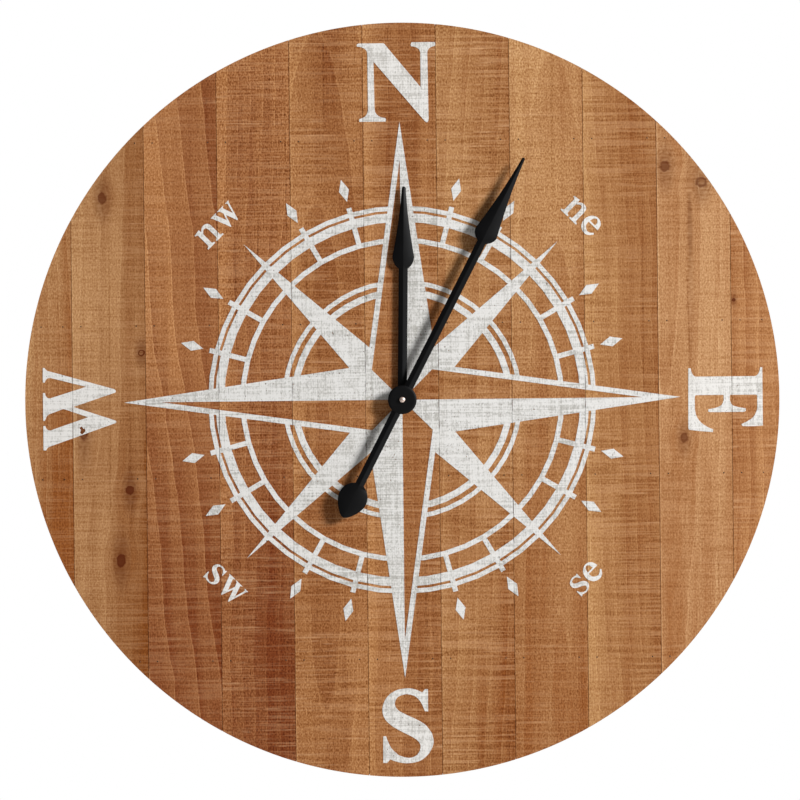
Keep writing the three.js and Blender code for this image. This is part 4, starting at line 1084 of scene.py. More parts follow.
def letter_e() -> Letter:
    """Draws the capital E.

    Returns:
        The letter.
    """
    shape = Outline(0.6, 0.6).line((0.5, 3.0)).bend((9.5, 4.6), (9.5, 9)).line((9.5, 71.0))
    shape.bend((9.0, 75.6), (0, 76.9)).line((0.2, 79.1), (61.9, 79.1)).bend((63.1, 70), (62.4, 57.5))
    shape.line((60.3, 56.3)).through((57.3, 62.5), (53.0, 68.8), (46.3, 72.6), (40.0, 73.4))
    shape.line((31.0, 73.4)).bend((29.1, 73.4), (29.1, 71))
    shape.line((29.1, 45.6)).bend((29.1, 44.3), (30.4, 44.3))
    shape.line((34.5, 44.3)).through((39.6, 46.6), (42.0, 52.5), (43.6, 61.0)).line((46.6, 61.2), (47.3, 59))
    shape.line((47.3, 23.6), (46.6, 21.2), (44.2, 21.4)).through((42.6, 29.5), (39.8, 35.4), (34.5, 37.9))
    shape.line((30.4, 37.9)).bend((29.1, 37.9), (29.1, 36.4)).line((29.1, 9.4)).bend((29.1, 7.1), (31.5, 7.1))
    shape.line((43.0, 7.1)).through((51.1, 8.7), (58.4, 13.8), (63.0, 20.6), (65.6, 26.4)).line((68.4, 26.0))
    shape.line((67.4, 13.5), (65.9, 1.6)).bend((65.5, 0), (63.5, 0))
    return Letter(shape, width=68.0, height=79.1)


def letter_s() -> Letter:
    """Draws the capital S.

    Returns:
        The letter.
    """
    shape = Outline(42.6, 74.8).through((35.0, 78.2), (26.4, 79.4), (14.0, 77.0), (4.4, 69.4), (0.1, 58.0),
                                        (2.6, 47.2), (10.9, 38.8))
    shape.through((21.0, 33.2), (31.5, 27.8), (38.2, 22.6), (40.2, 16.4), (36.2, 8.6), (27.4, 5.6),
                  (16.8, 8.6))
    shape.through((9.6, 15.6), (5.6, 23.4), (3.6, 29.0)).line((0.6, 28.6), (0.4, 0.6), (4.6, 0.4), (7.8, 4.2))
    shape.through((16.5, 1.2), (26.4, 0.0), (38.6, 2.0), (48.6, 9.6), (54.0, 21.0), (52.4, 31.6))
    shape.through((45.6, 40.4), (36.0, 46.4), (25.4, 51.4), (16.6, 56.6), (13.4, 63.2), (16.6, 70.2),
                  (25.6, 73.4))
    shape.through((34.6, 71.0), (41.0, 64.4), (45.0, 55.0)).line((48.6, 54.6), (48.6, 78.4), (45.4, 78.4))
    return Letter(shape, width=54.0, height=79.4)


def letter_w() -> Letter:
    """Draws the capital W, with the chip that is worn out of it.

    Returns:
        The letter.
    """
    shape = Outline(0.4, 74.2).bend((3.2, 73.6), (4.6, 70.0)).line((28.8, 0)).bend((30.2, -1.2), (31.6, 0.8))
    shape.line((46.3, 45.0), (61.0, 0.4)).bend((62.8, -1.4), (64.8, 1.6)).line((84.2, 70.0))
    shape.bend((84.8, 73.6), (88.0, 74.8)).line((88.0, 77.0), (72.6, 77.0), (72.4, 75.0))
    shape.bend((77.8, 73.6), (77.2, 68.6)).line((67.5, 31.1), (55.6, 69.6)).bend((55.2, 73.8), (61.4, 75.0))
    shape.line((61.4, 77.0), (31.9, 77.0), (31.9, 75.0)).bend((37.4, 73.6), (38.9, 70.2)).line((44.2, 55.6))
    shape.line((42.6, 50.4), (35.2, 29.4), (21.6, 69.4)).bend((21.4, 73.8), (26.4, 74.8))
    shape.line((26.4, 77.0), (0.6, 77.0))
    chip = Outline(16.9, 36.0).line((19.0, 38.2), (21.6, 36.8), (24.0, 38.8), (25.6, 36.2), (23.0, 34.6))
    chip.line((23.4, 33.0), (20.6, 32.2), (18.6, 34.2))
    return Letter(shape, width=88.0, height=77.0, holes=(chip,))


def small_letter_n() -> Letter:
    """Draws the small n.

    Returns:
        The letter.
    """
    shape = Outline(0, 0).line((0, 1.5)).bend((2.6, 1.8), (2.6, 3.4)).line((2.6, 16.4))
    shape.bend((2.4, 17.8), (0, 18.2)).line((0.2, 19.3), (7.0, 20.2), (7.2, 17.0))
    shape.through((10.2, 19.4), (13.8, 20.2), (17.6, 18.4), (18.8, 14.4))
    shape.line((18.8, 3.4)).bend((18.8, 1.8), (21.4, 1.5)).line((21.4, 0), (11.8, 0), (11.8, 1.5))
    shape.bend((14.2, 1.8), (14.2, 3.4)).line((14.2, 13.2)).through((13.2, 16.6), (10.6, 17.0), (7.2, 14.4))
    shape.line((7.2, 3.4)).bend((7.2, 1.8), (9.6, 1.5)).line((9.6, 0))
    return Letter(shape, width=21.4, height=20.2)


def small_letter_e() -> Letter:
    """Draws the small e.

    Returns:
        The letter.
    """
    shape = Outline(17.6, 5.2).through((14.0, 1.2), (9.2, -0.2), (3.0, 2.6), (0.2, 9.6), (2.8, 17.0),
                                       (9.2, 20.2), (15.4, 17.6), (17.6, 11.0))
    shape.line((5.0, 11.0)).through((6.0, 6.2), (10.4, 3.4), (14.0, 4.4), (16.4, 6.6))
    eye = Outline(5.3, 12.7).line((12.4, 12.7)).through((11.8, 16.4), (9.2, 18.4), (6.6, 16.8), (5.3, 12.7))
    eye.points.pop()
    return Letter(shape, width=17.6, height=20.2, holes=(eye,))


@dataclass(frozen=True)
class Lettering:
    """Letters set in a row.

    The row's centre is measured from the dial's middle in metres, its turn is clockwise in degrees, and
    the gap between its letters is in millimetres.
    """

    letters: tuple[Letter, ...]
    x: float
    z: float
    turn: float = 0.0
    scale: float = 1.0
    gap: float = 1.8


@dataclass
class PaintedMarks:
    """The painted rose, the letters round it and the diamonds of its ring."""

    thickness: float = 0.3 * MM
    bed: float = 0.02 * MM
    diamond_radius: float = 230.0 * MM
    diamond_half_length: float = 12.2 * MM
    diamond_half_width: float = 5.4 * MM
    diamond_angles: tuple[float, ...] = (15.0, 30.0, 60.0, 75.0)

    def add_patch(self, mesh: bmesh.types.BMesh, loops: Sequence[Sequence[Point]]) -> None:
        """Adds one flat patch of paint, outline first and then its holes, to a mesh."""
        add_slab(mesh, loops, DIAL_FRONT - self.thickness, DIAL_FRONT - self.bed)

    def set_row(self, mesh: bmesh.types.BMesh, row: Lettering) -> None:
        """Adds a row of letters to a mesh.

        Args:
            mesh: The mesh to add to.
            row: The letters and their place.
        """
        length = sum(letter.width for letter in row.letters) + row.gap * (len(row.letters) - 1)
        height = max(letter.height for letter in row.letters)
        turn = Matrix.Rotation(math.radians(-row.turn), 2)
        start = -length / 2
        for letter in row.letters:
            loops = []
            for outline in (letter.outline, *letter.holes):
                corners = [Vector((x + start, y - height / 2)) for x, y in outline.points]
                spots = [turn @ corner * MM * row.scale for corner in corners]
                loops.append([(spot.x + row.x, spot.y + row.z + DIAL_Z) for spot in spots])
            self.add_patch(mesh, loops)
            start += letter.width + row.gap

    def build_letters(self) -> list[bpy.types.Object]:
        """Builds the four capitals and the four pairs of small letters.

        Returns:
            The pieces.
        """
        n, e = small_letter_n(), small_letter_e()
        s = letter_s().resized(width=14.6, height=20.2)
        w = letter_w().resized(width=25.0, height=20.0)
        rows = {
            "letter_north": Lettering((letter_n(),), -0.0027, 0.3372),
            "letter_south": Lettering((letter_s(),), 0.0024, -0.3458),
            "letter_east": Lettering((letter_e(),), 0.3426, -0.0033, turn=90.0),
            "letter_west": Lettering((letter_w(),), -0.3425, -0.0063, turn=-90.0),
            "letters_north_west": Lettering((n, w), -0.1932, 0.1874, turn=-45.0, scale=1.08),
            "letters_north_east": Lettering((n, e), 0.1930, 0.1921, turn=45.0, scale=1.07),
            "letters_south_west": Lettering((s, w), -0.1895, -0.1936, turn=45.0, scale=1.1),
            "letters_south_east": Lettering((s, e), 0.1932, -0.1908, turn=-45.0, scale=1.05),
        }
        pieces = []
        for name, row in rows.items():
            mesh = bmesh.new()
            self.set_row(mesh, row)
            pieces.append(make_piece(name, mesh, LETTER_PAINT, "clock_body", smooth=False))
        return pieces

    def build_diamonds(self) -> bpy.types.Object:
        """Builds the sixteen diamonds as one piece.

        Returns:
            The piece.
        """
        mesh = bmesh.new()
        long, wide = self.diamond_half_length, self.diamond_half_width
        for quarter in range(4):
            for angle in self.diamond_angles:
                turn = Matrix.Rotation(math.radians(-90.0 * quarter - angle), 2)
                kite = ((0.0, long), (-wide, 0.0), (0.0, -long), (wide, 0.0))
                spots = [turn @ Vector((x, y + self.diamond_radius)) for x, y in kite]
                self.add_patch(mesh, [[(spot.x, spot.y + DIAL_Z) for spot in spots]])
        return make_piece("rose_diamonds", mesh, ROSE_PAINT, "clock_body", smooth=False)

    def dress(self) -> None:
        """Gives the rose its paint."""
        dress_node("compass_rose", ROSE_PAINT)


@dataclass
class SpadeHand:
    """A pressed hand with a spade head and a ridge along its middle.

    The angle is clockwise from the top in degrees, and back is where the hand's back lies.
    """

    name: str
    body: str
    angle: float
    length: float
    head_length: float
    head_width: float
    tip_width: float
    back: float
    tail_length: float = 0.0
    shaft_width: float = 9.7 * MM
    shoulder: float = 13.0 * MM
    waist_share: float = 0.24
    lobe_lift: float = 5.0 * MM
    tail_weight_length: float = 39.0 * MM
    tail_weight_width: float = 31.0 * MM
    tail_shoulder: float = 17.0 * MM
    tail_belly: float = 8.5 * MM
    tail_nose: float = 5.0 * MM
    thickness: float = 1.6 * MM
    tail_thickness: float = 0.7 * MM
    edge: float = 0.45 * MM
    edge_round: float = 0.3 * MM
    edge_trim_share: float = 0.4
    edge_drop_share: float = 0.6
    lobe_steps: int = 14
    point_steps: int = 22
    tip_steps: int = 5
    tail_steps: int = 20

    def half_outline(self) -> list[Point]:
        """Half widths along the hand, from its tail to its tip.

        Returns:
            Pairs of half width and distance from the axis.
        """
        shaft, widest, tip = self.shaft_width / 2, self.head_width / 2, self.tip_width / 2
        neck = self.length - self.head_length
        shoulder = neck + self.shoulder
        waist = (tip + (widest - tip) * self.waist_share, (shoulder + self.length) / 2)
        run = Outline(shaft, 0.0).line((shaft, neck))
        run.bend((widest, neck + self.lobe_lift), (widest, shoulder), steps=self.lobe_steps)
        run.bend(waist, (tip, self.length - tip), steps=self.point_steps)
        for turn in quarter_turn(self.tip_steps)[:-1]:
            run.line((tip * math.cos(turn), self.length - tip + tip * math.sin(turn)))
        if not self.tail_length:
            return run.points
        return self.tail_outline() + run.points

    def tail_outline(self) -> list[Point]:
        """Half widths of the counterweight, from its nose to the axis.

        Returns:
            Pairs of half width and distance from the axis, which is negative here.
        """
        shaft, widest = self.shaft_width / 2, self.tail_weight_width / 2
        neck = self.tail_weight_length - self.tail_length
        shoulder = neck - self.tail_shoulder
        nose = (self.tail_nose, -self.tail_length)
        run = Outline(0.0, -self.tail_length)
        run.bend(nose, (widest, shoulder - self.tail_belly), (widest, shoulder), steps=self.tail_steps)
        run.bend((widest, neck - self.lobe_lift), (shaft, neck), steps=self.lobe_steps)
        return run.points[1:]

    def crest(self, half: float, place: float) -> float:
        """How high the ridge stands, which fades out on the counterweight.

        Args:
            half: Half the hand's width there.
            place: The distance from the axis.

        Returns:
            The height above the hand's back.
        """
        neck = self.tail_weight_length - self.tail_length
        if not self.tail_length or place > neck:
            return self.thickness
        if place < neck - self.tail_shoulder:
            return self.tail_thickness
        share = (2 * half - self.shaft_width) / (self.tail_weight_width - self.shaft_width)
        return self.thickness + (self.tail_thickness - self.thickness) * share

    def section(self, half: float, place: float) -> list[Point]:
        """The cross section at a place along the hand, with the ridge as its middle point.

        Args:
            half: Half the hand's width there.
            place: The distance from the axis.

        Returns:
            Pairs of place across the hand and height above its back.
        """
        trim = min(self.edge_round, half * self.edge_trim_share)
        low = self.edge - trim * self.edge_drop_share
        return [
            (-half, 0.0), (-half, low), (trim - half, self.edge), (0.0, self.crest(half, place)),
            (half - trim, self.edge), (half, low), (half, 0.0),
        ]

    def build(self) -> bpy.types.Object:
        """Builds the hand as one closed loft.

        Returns:
            The piece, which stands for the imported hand.
        """
        mesh = bmesh.new()
        turn = Matrix.Rotation(math.radians(-self.angle), 2)
        rings = []
        for half, place in self.half_outline():
            spots = [(turn @ Vector((across, place)), rise) for across, rise in self.section(half, place)]
            corners = [(spot.x, self.back - rise, spot.y + DIAL_Z) for spot, rise in spots]
            rings.append([mesh.verts.new(corner) for corner in corners])
        ridge = len(rings[0]) // 2
        for ring, after in zip(rings, rings[1:]):
            for index in range(len(ring)):
                beside = (index + 1) % len(ring)
                mesh.faces.new((ring[index], ring[beside], after[beside], after[index]))
            mesh.edges.get((ring[ridge], after[ridge])).smooth = False
        mesh.faces.new(reversed(rings[0]))
        mesh.faces.new(rings[-1])
        piece = make_piece(self.name + "_blade", mesh, HAND_BLACK, self.body, sharp=40.0)
        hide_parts(self.name)
        return piece


@dataclass
class HandSet:
    """Both hands, their hubs and the nut that holds them."""

    hub_radius: float = 11.0 * MM
    hub_height: float = 1.5 * MM
    hub_round: float = 0.4 * MM
    hub_facets: int = 64
    boss_radius: float = 15.25 * MM
    boss_height: float = 2.2 * MM
    boss_edge: float = 1.0 * MM
    boss_bevel: float = 3.2 * MM
    boss_land: float = 2.0 * MM
    boss_facets: int = 96
    collet_radius: float = 3.6 * MM
    nut_radius: float = 3.0 * MM
    nut_rise: float = 1.3 * MM
    nut_facets: int = 48
    round_steps: int = 8

    def build(self) -> list[bpy.types.Object]:
        """Builds the hands, the hubs and the nut.

        Returns:
            The pieces.
        """
        hour_back, minute_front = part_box("hour_hand")[1].y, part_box("minute_hand")[0].y
        minute_back = minute_front + self.boss_height
        hour = SpadeHand(
            "hour_hand", "hour_hand", angle=1.0, length=226.0 * MM, head_length=87.0 * MM,
            head_width=23.0 * MM, tip_width=4.2 * MM, back=hour_back,
        )
        minute = SpadeHand(
            "minute_hand", "minute_hand", angle=27.3, length=286.5 * MM, head_length=100.0 * MM,
            head_width=25.0 * MM, tip_width=3.2 * MM, back=minute_back, tail_length=139.5 * MM,
            shoulder=11.0 * MM,
        )
        blades = [hour.build(), minute.build()]
        return blades + [self.build_hub(hour_back), self.build_boss(minute_back), self.build_nut()]

    def build_hub(self, back: float) -> bpy.types.Object:
        """The hour hand's flat round hub.

        Args:
            back: Where its back lies.

        Returns:
            The piece.
        """
        mesh = bmesh.new()
        front, rim, soft = back - self.hub_height, self.hub_radius, self.hub_round
        profile = [(0.0, front), (rim - soft, front), (rim, front + soft), (rim, back), (0.0, back)]
        turn_profile(mesh, profile, (0.0, DIAL_Z), self.hub_facets)
        return make_piece("hour_hand_hub", mesh, HAND_BLACK, "hour_hand", sharp=40.0)

    def build_boss(self, back: float) -> bpy.types.Object:
        """The minute hand's round boss, with a soft shoulder.

        Args:
            back: Where its back lies.

        Returns:
            The piece.
        """
        mesh = bmesh.new()
        front, rim = back - self.boss_height, self.boss_radius
        profile = [(0.0, front), (rim - self.boss_bevel - self.boss_land, front)]
        for turn in quarter_turn(self.round_steps):
            profile.append((
                rim - self.boss_bevel * (1 - math.sin(turn)),
                back - self.boss_edge - (self.boss_height - self.boss_edge) * math.cos(turn),
            ))
        collet, collet_back = self.collet_radius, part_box("minute_hand")[1].y
        profile += [(rim, back), (collet, back), (collet, collet_back), (0.0, collet_back)]
        turn_profile(mesh, profile, (0.0, DIAL_Z), self.boss_facets)
        return make_piece("minute_hand_boss", mesh, HAND_BLACK, "minute_hand", sharp=40.0)

    def build_nut(self) -> bpy.types.Object:
        """The small domed nut in the middle.

        Returns:
            The piece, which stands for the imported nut.
        """
        mesh = bmesh.new()
        low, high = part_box("hand_nut")
        profile = [(0.0, low.y)]
        for turn in quarter_turn(self.round_steps):
            profile.append((self.nut_radius * math.sin(turn), low.y + self.nut_rise * (1 - math.cos(turn))))
        profile += [(self.nut_radius, high.y), (0.0, high.y)]
        turn_profile(mesh, profile, (0.0, DIAL_Z), self.nut_facets)
        piece = make_piece("hand_nut_dome", mesh, BRIGHT_NUT, "minute_hand", sharp=50.0)
        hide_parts("hand_nut")
        return piece


@dataclass
class Movement:
    """The clockwork behind the dial, its battery and the parts that clamp it.

    Fields that end in share are parts of the knob's or the cell's radius, of the knob's height, of the
    cover's half width, or of the rib's or the grip's width. The crimp is drawn in shares of jacket_round.
    """

    case_round: float = 0.5 * MM
    lip_inset: float = 1.2 * MM
    lip_width: float = 1.1 * MM
    lip_corner: float = 3.0 * MM
    lip_height: float = 0.5 * MM
    guard_gap: float = 1.0 * MM
    rib_length: float = 13.0 * MM
    rib_width: float = 1.0 * MM
    rib_pitch: float = 2.4 * MM
    ribs_each_way: int = 2
    rib_place_share: float = 0.42
    rib_corner_share: float = 0.48
    knob_flutes: int = 40
    knob_flute_depth: float = 0.035
    knob_round: float = 0.15 * MM
    knob_floor_share: float = 0.6
    knob_rim_share: float = 0.74
    knob_dish_share: float = 0.70
    grip_length_share: float = 0.64
    grip_width_share: float = 0.16
    grip_corner_share: float = 0.9
    cell_facets: int = 64
    collar_start: float = 14.5 * MM
    jacket_round: float = 0.5 * MM
    crimp: tuple[Point, ...] = ((1.4, 0.7), (0.4, 1.0), (0.0, 2.0))
    cap_height: float = 1.3 * MM
    cup_share: float = 0.86
    nub_share: float = 0.387
    land_share: float = 0.68
    land_rim_share: float = 0.75

    def build_mouldings(self) -> bpy.types.Object:
        """Builds the lip, the knob's guard ring and the grip ribs moulded on the cover.

        Returns:
            The piece.
        """
        mesh = bmesh.new()
        low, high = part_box("movement_cover")
        knob_low, knob_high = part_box("setting_knob")
        front, back = high.y, high.y + self.lip_height
        loops = []
        for inset in (self.lip_inset, self.lip_inset + self.lip_width):
            ends = (low.x + inset, low.z + inset), (high.x - inset, high.z - inset)
            loops.append(rounded_box(*ends, self.lip_corner - inset + self.lip_inset))
        add_slab(mesh, loops, front, back)
        knob_x, knob_z = (knob_low.x + knob_high.x) / 2, (knob_low.z + knob_high.z) / 2
        guard = (knob_high.x - knob_low.x) / 2 + self.guard_gap
        rings = [circle(knob_x, knob_z, radius) for radius in (guard + self.lip_width, guard)]
        add_slab(mesh, rings, front, back)
        half_length, half_width = self.rib_length / 2, self.rib_width / 2
        for rib in range(-self.ribs_each_way, self.ribs_each_way + 1):
            x, z = high.x * self.rib_place_share, knob_z + rib * self.rib_pitch
            ends = (x - half_length, z - half_width), (x + half_length, z + half_width)
            add_slab(mesh, [rounded_box(*ends, self.rib_width * self.rib_corner_share)], front, back)
        return make_piece("cover_mouldings", mesh, CASE_BLACK, "clock_body", smooth=False)

    def build_knob(self) -> bpy.types.Object:
        """Builds the fluted setting knob with its grip bar.

        Returns:
            The piece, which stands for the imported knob.
        """
        mesh = bmesh.new()
        low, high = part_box("setting_knob")
        x, z, rim = (low.x + high.x) / 2, (low.z + high.z) / 2, (high.x - low.x) / 2
        floor = low.y + self.knob_floor_share * (high.y - low.y)
        soft = self.knob_round
        profile = [
            (0.0, low.y), (rim - soft, low.y), (rim, low.y + soft), (rim, high.y - soft),
            (rim - soft, high.y), (self.knob_rim_share * rim, high.y), (self.knob_dish_share * rim, floor),
            (0.0, floor),
        ]
        turn_profile(mesh, profile, (x, z), 4 * self.knob_flutes, self.knob_flute_depth)
        half, bar = self.grip_length_share * rim, self.grip_width_share * rim
        grip = rounded_box((x - half, z - bar), (x + half, z + bar), bar * self.grip_corner_share)
        add_slab(mesh, [grip], floor, high.y)
        piece = make_piece(
            "setting_knob_fluted", mesh, KNOB_GREY, "minute_wheel", sharp=35.0
        )
        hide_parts("setting_knob")
        return piece

    def build_battery(self) -> list[bpy.types.Object]:
        """Builds the AA cell: its jacket, its collar and its bare ends.

        Returns:
            The pieces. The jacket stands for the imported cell.
        """
        low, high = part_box("battery")
        half, radius, soft = (high.x - low.x) / 2, (high.z - low.z) / 2, self.jacket_round
        shoulder, collar_start = half - self.cap_height, self.collar_start
        cup, nub = self.cup_share * radius, self.nub_share * radius
        crimp = [(radius - inward * soft, along * soft) for inward, along in self.crimp]
        jacket = [
            (0.0, 2 * soft - half), *((rim, along - half) for rim, along in crimp), (radius, collar_start),
            (0.0, collar_start),
        ]
        collar = [
            (0.0, collar_start), (radius, collar_start),
            *((rim, shoulder - along) for rim, along in reversed(crimp)), (0.0, shoulder - soft),
        ]
        minus_end = [
            (0.0, -half), (self.land_share * radius, -half), (self.land_rim_share * radius, soft - half),
            (cup, 1.2 * soft - half), (cup, 3 * soft - half), (0.0, 3 * soft - half),
        ]
        plus_end = [
            (0.0, shoulder - 2 * soft), (cup, shoulder - 2 * soft), (cup, shoulder - 0.2 * soft),
            (1.3 * nub, shoulder), (1.04 * nub, shoulder + 0.5 * soft), (nub, shoulder + soft),
            (nub, half - 0.5 * soft), (nub - 0.5 * soft, half), (0.0, half),
        ]
        pieces = []
        for name, profiles, finish, slot in (
            ("battery_jacket", [jacket], CELL_JACKET, "cell_jacket"),
            ("battery_collar", [collar], CELL_RING, "cell_jacket"),
            ("battery_ends", [minus_end, plus_end], ZINC, "zinc_steel"),
        ):
            mesh = bmesh.new()
            for profile in profiles:
                turn_profile(mesh, profile, (0.0, 0.0), self.cell_facets)
            place = Matrix.Translation((low + high) / 2) @ Matrix.Rotation(-math.pi / 2, 4, "Z")
            bmesh.ops.transform(mesh, matrix=place, verts=mesh.verts)
            pieces.append(make_piece(name, mesh, finish, "battery", sharp=40.0))
        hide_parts("battery")
        return pieces

    def dress(self) -> None:
        """Gives every part of the movement its finish."""
        dressed = {
            CASE_BLACK: ("movement_case", "movement_cover"),
            WHEEL_WHITE: (
                "centre_wheel", "hour_wheel", "minute_wheel", "third_wheel", "fourth_wheel",
                "intermediate_wheel", "minute_arbor", "train_bridge",
            ),
            RUBBER: ("case_gasket", "controller_chip"),
            BRASS: ("threaded_bush", "hexagon_nut"),
            ZINC: (
                "dial_washer", "clutch_washer", "stator", "coil_core", "quartz_crystal", "contact_positive",
                "contact_negative",
            ),
            COPPER: ("coil",),
            BOARD_GREEN: ("circuit_board",),
            MAGNET: ("rotor",),
        }
        for finish, names in dressed.items():
            for name in names:
                dress_node(name, finish, self.case_round if finish is CASE_BLACK else 0.0)


@dataclass
class Hanger:
    """The keyhole plate let into the top batten, and its screws."""

    plate_round: float = 0.25 * MM
    shank_radius: float = 1.6 * MM
    head_height: float = 1.5 * MM
    head_round: float = 0.15 * MM
    screw_facets: int = 40
    recess_depth: float = 0.9 * MM
    recess_reach: float = 1.8 * MM
    recess_half: float = 0.42 * MM
    recess_turns: tuple[float, float] = (17.0, 52.0)

    def dress(self) -> None:
        """Gives the plate its zinc."""
        dress_node("hanger_plate", ZINC, self.plate_round)

    def build_screws(self) -> list[bpy.types.Object]:
        """Builds the two countersunk screws with their cross recesses.

        Returns:
            The pieces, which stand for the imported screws.
        """
        pieces = []
        reach, half = self.recess_reach, self.recess_half
        for side, turn in zip(("left", "right"), self.recess_turns):
            low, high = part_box("hanger_screw_" + side)
            centre, head = ((low.x + high.x) / 2, (low.z + high.z) / 2), (high.x - low.x) / 2
            profile = [
                (0.0, low.y), (self.shank_radius, low.y + self.head_height),
                (self.shank_radius, high.y - self.head_height), (head, high.y - self.head_round),
                (head - self.head_round, high.y), (0.0, high.y),
            ]
            solid, tool = bmesh.new(), bmesh.new()
            turn_profile(solid, profile, centre, self.screw_facets)
            cross = []
            for quarter in range(4):
                arm = Matrix.Rotation(math.radians(turn + 90.0 * quarter), 2)
                cross += [arm @ Vector(corner) for corner in ((half, half), (half, reach), (-half, reach))]
            loop = [(spot.x + centre[0], spot.y + centre[1]) for spot in cross]
            add_slab(tool, [loop], high.y - self.recess_depth, high.y + self.recess_depth)
            mesh = carved(solid, tool)
            piece = make_piece("hanger_screw_head_" + side, mesh, ZINC, "clock_body")
            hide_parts("hanger_screw_" + side)
            pieces.append(piece)
        return pieces


@dataclass
class Studio:
    """Floor, lamps, white surround and the camera of the picture.

    Ambient is the light of the surround, and mirrored is how white it looks in shiny things. Angles are in
    degrees, and the disc's place in the picture is in pixels.
    """

    picture_side: float = 800.0
    disc_radius_px: float = 377.14
    disc_centre_px: Point = (402.3, 399.75)
    roll: float = 0.6
    distance: float = 4.0
    sensor: float = 36.0
    floor_drop: float = 1.2
    floor_radius: float = 4.0
    floor_facets: int = 96
    ambient: float = 0.12
    mirrored: float = 0.16
    lamp_size: float = 1.8
    lamp_distance: float = 7.0
    key_power: float = 745.0
    key_side_angle: float = 56.5
    key_rise: float = 0.37
    back_power: float = 320.0
    back_way: Triple = (-0.35, 0.9, 0.25)

    def build(self) -> None:
        """Builds the whole studio."""
        scene = bpy.context.scene
        scene.view_settings.view_transform = "Standard"
        self.build_world(scene)
        self.build_floor()
        self.build_lamps()
        self.build_camera(scene)

    def build_world(self, scene: bpy.types.Scene) -> None:
        """Makes the surround white where it is seen, and a soft grey light where it lights.

        Args:
            scene: The scene.
        """
        scene.world = bpy.data.worlds.new("studio_white")
        scene.world.use_nodes = True
        bench = NodeBench(scene.world.node_tree)
        level: Feed = self.ambient
        shares = {"Is Camera Ray": 1.0, "Is Transmission Ray": 1.0, "Is Glossy Ray": self.mirrored}
        for ray, share in shares.items():
            level = bench.math("MAXIMUM", bench.run("ShaderNodeLightPath", {}, ray) * share, level)
        bench.fill(bench.tree.nodes["Background"], {"Color": WHITE, "Strength": level})

    def build_floor(self) -> None:
        """Builds a plain pale floor below the clock."""
        mesh = bmesh.new()
        level = DIAL_LOW.z - self.floor_drop
        rim = circle(0.0, 0.0, self.floor_radius, self.floor_facets)
        mesh.faces.new([mesh.verts.new((x, y, level)) for x, y in rim])
        floor = add_mesh("studio_floor", mesh)
        floor.data.materials.append(FLOOR_PAINT.material())

    def build_lamps(self) -> None:
        """Hangs the main soft lamp on the right, and a fill behind for the back."""
        turn = math.radians(self.key_side_angle)
        self.add_lamp("key_lamp", self.key_power, Vector((math.sin(turn), -math.cos(turn), self.key_rise)))
        self.add_lamp("back_lamp", self.back_power, Vector(self.back_way))

    def add_lamp(self, name: str, power: float, away: Vector) -> None:
        """Adds one round soft lamp that looks at the dial.

        Args:
            name: The lamp's name.
            power: Its power in watts.
            away: The way from the dial to the lamp.
        """
        lamp = bpy.data.lights.new(name, "AREA")
        lamp.shape = "DISK"
        lamp.size = self.lamp_size
        lamp.energy = power
        head = add_object(name, lamp)
        head.location = Vector((0.0, DIAL_FRONT, DIAL_Z)) + away.normalized() * self.lamp_distance
        head.rotation_euler = away.to_track_quat("Z", "Y").to_euler()

    def build_camera(self, scene: bpy.types.Scene) -> None:
        """Sets the camera square in front of the dial, framed as in the picture.

        Args:
            scene: The scene.
        """
        lens = bpy.data.cameras.new("picture_camera")
        pixel = DIAL_RADIUS / self.disc_radius_px
        lens.sensor_width = self.sensor
        lens.lens = self.sensor * self.distance / (self.picture_side * pixel)
        aside = (self.disc_centre_px[0] - self.picture_side / 2) * pixel
        above = (self.picture_side / 2 - self.disc_centre_px[1]) * pixel
        scene.camera = add_object("picture_camera", lens)
        scene.camera.location = (-aside, DIAL_FRONT - self.distance, DIAL_Z - above)
        scene.camera.rotation_euler = (math.pi / 2, math.radians(self.roll), 0.0)


def dress_node(name: str, finish: Finish, rounding: float = 0.0) -> None:
    """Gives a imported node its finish, and softens its edges.

    Args:
        name: The node's name.
        finish: The finish.
        rounding: Width of the softened edges in metres, 0 for none.
    """
    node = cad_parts[name]
    node.data.materials.clear()
    node.data.materials.append(finish.material())
    if rounding:
        soft = node.modifiers.new("soft_edges", "BEVEL")
        soft.width = rounding
        soft.segments = EDGE_SEGMENTS
        soft.limit_method = "ANGLE"
        soft.angle_limit = EDGE_ANGLE
    LOG.info("dressed %s in %s", name, finish.name)


def quarter_turn(steps: int) -> list[float]:
    """Angles of equal steps up to a right angle, without the start."""
    return [math.pi / 2 * step / steps for step in range(1, steps + 1)]


def circle(x: float, z: float, radius: float, steps: int = 48) -> list[Point]:
    """A round loop of points about x and z."""
    angles = [2 * math.pi * step / steps for step in range(steps)]
    return [(x + radius * math.cos(angle), z + radius * math.sin(angle)) for angle in angles]


def rounded_box(low: Point, high: Point, radius: float, steps: int = 6) -> list[Point]:
    """A rectangular loop with round corners.

    Args:
        low: Its lowest x and z.
        high: Its highest x and z.
        radius: The corners' radius.
        steps: Straight pieces in each corner.

    Returns:
        The points.
    """
    middles = (
        (high[0] - radius, high[1] - radius), (low[0] + radius, high[1] - radius),
        (low[0] + radius, low[1] + radius), (high[0] - radius, low[1] + radius),
    )
    loop = []
    for quarter, (x, z) in enumerate(middles):
        for step in range(steps + 1):
            angle = math.pi / 2 * (quarter + step / steps)
            loop.append((x + radius * math.cos(angle), z + radius * math.sin(angle)))
    return loop


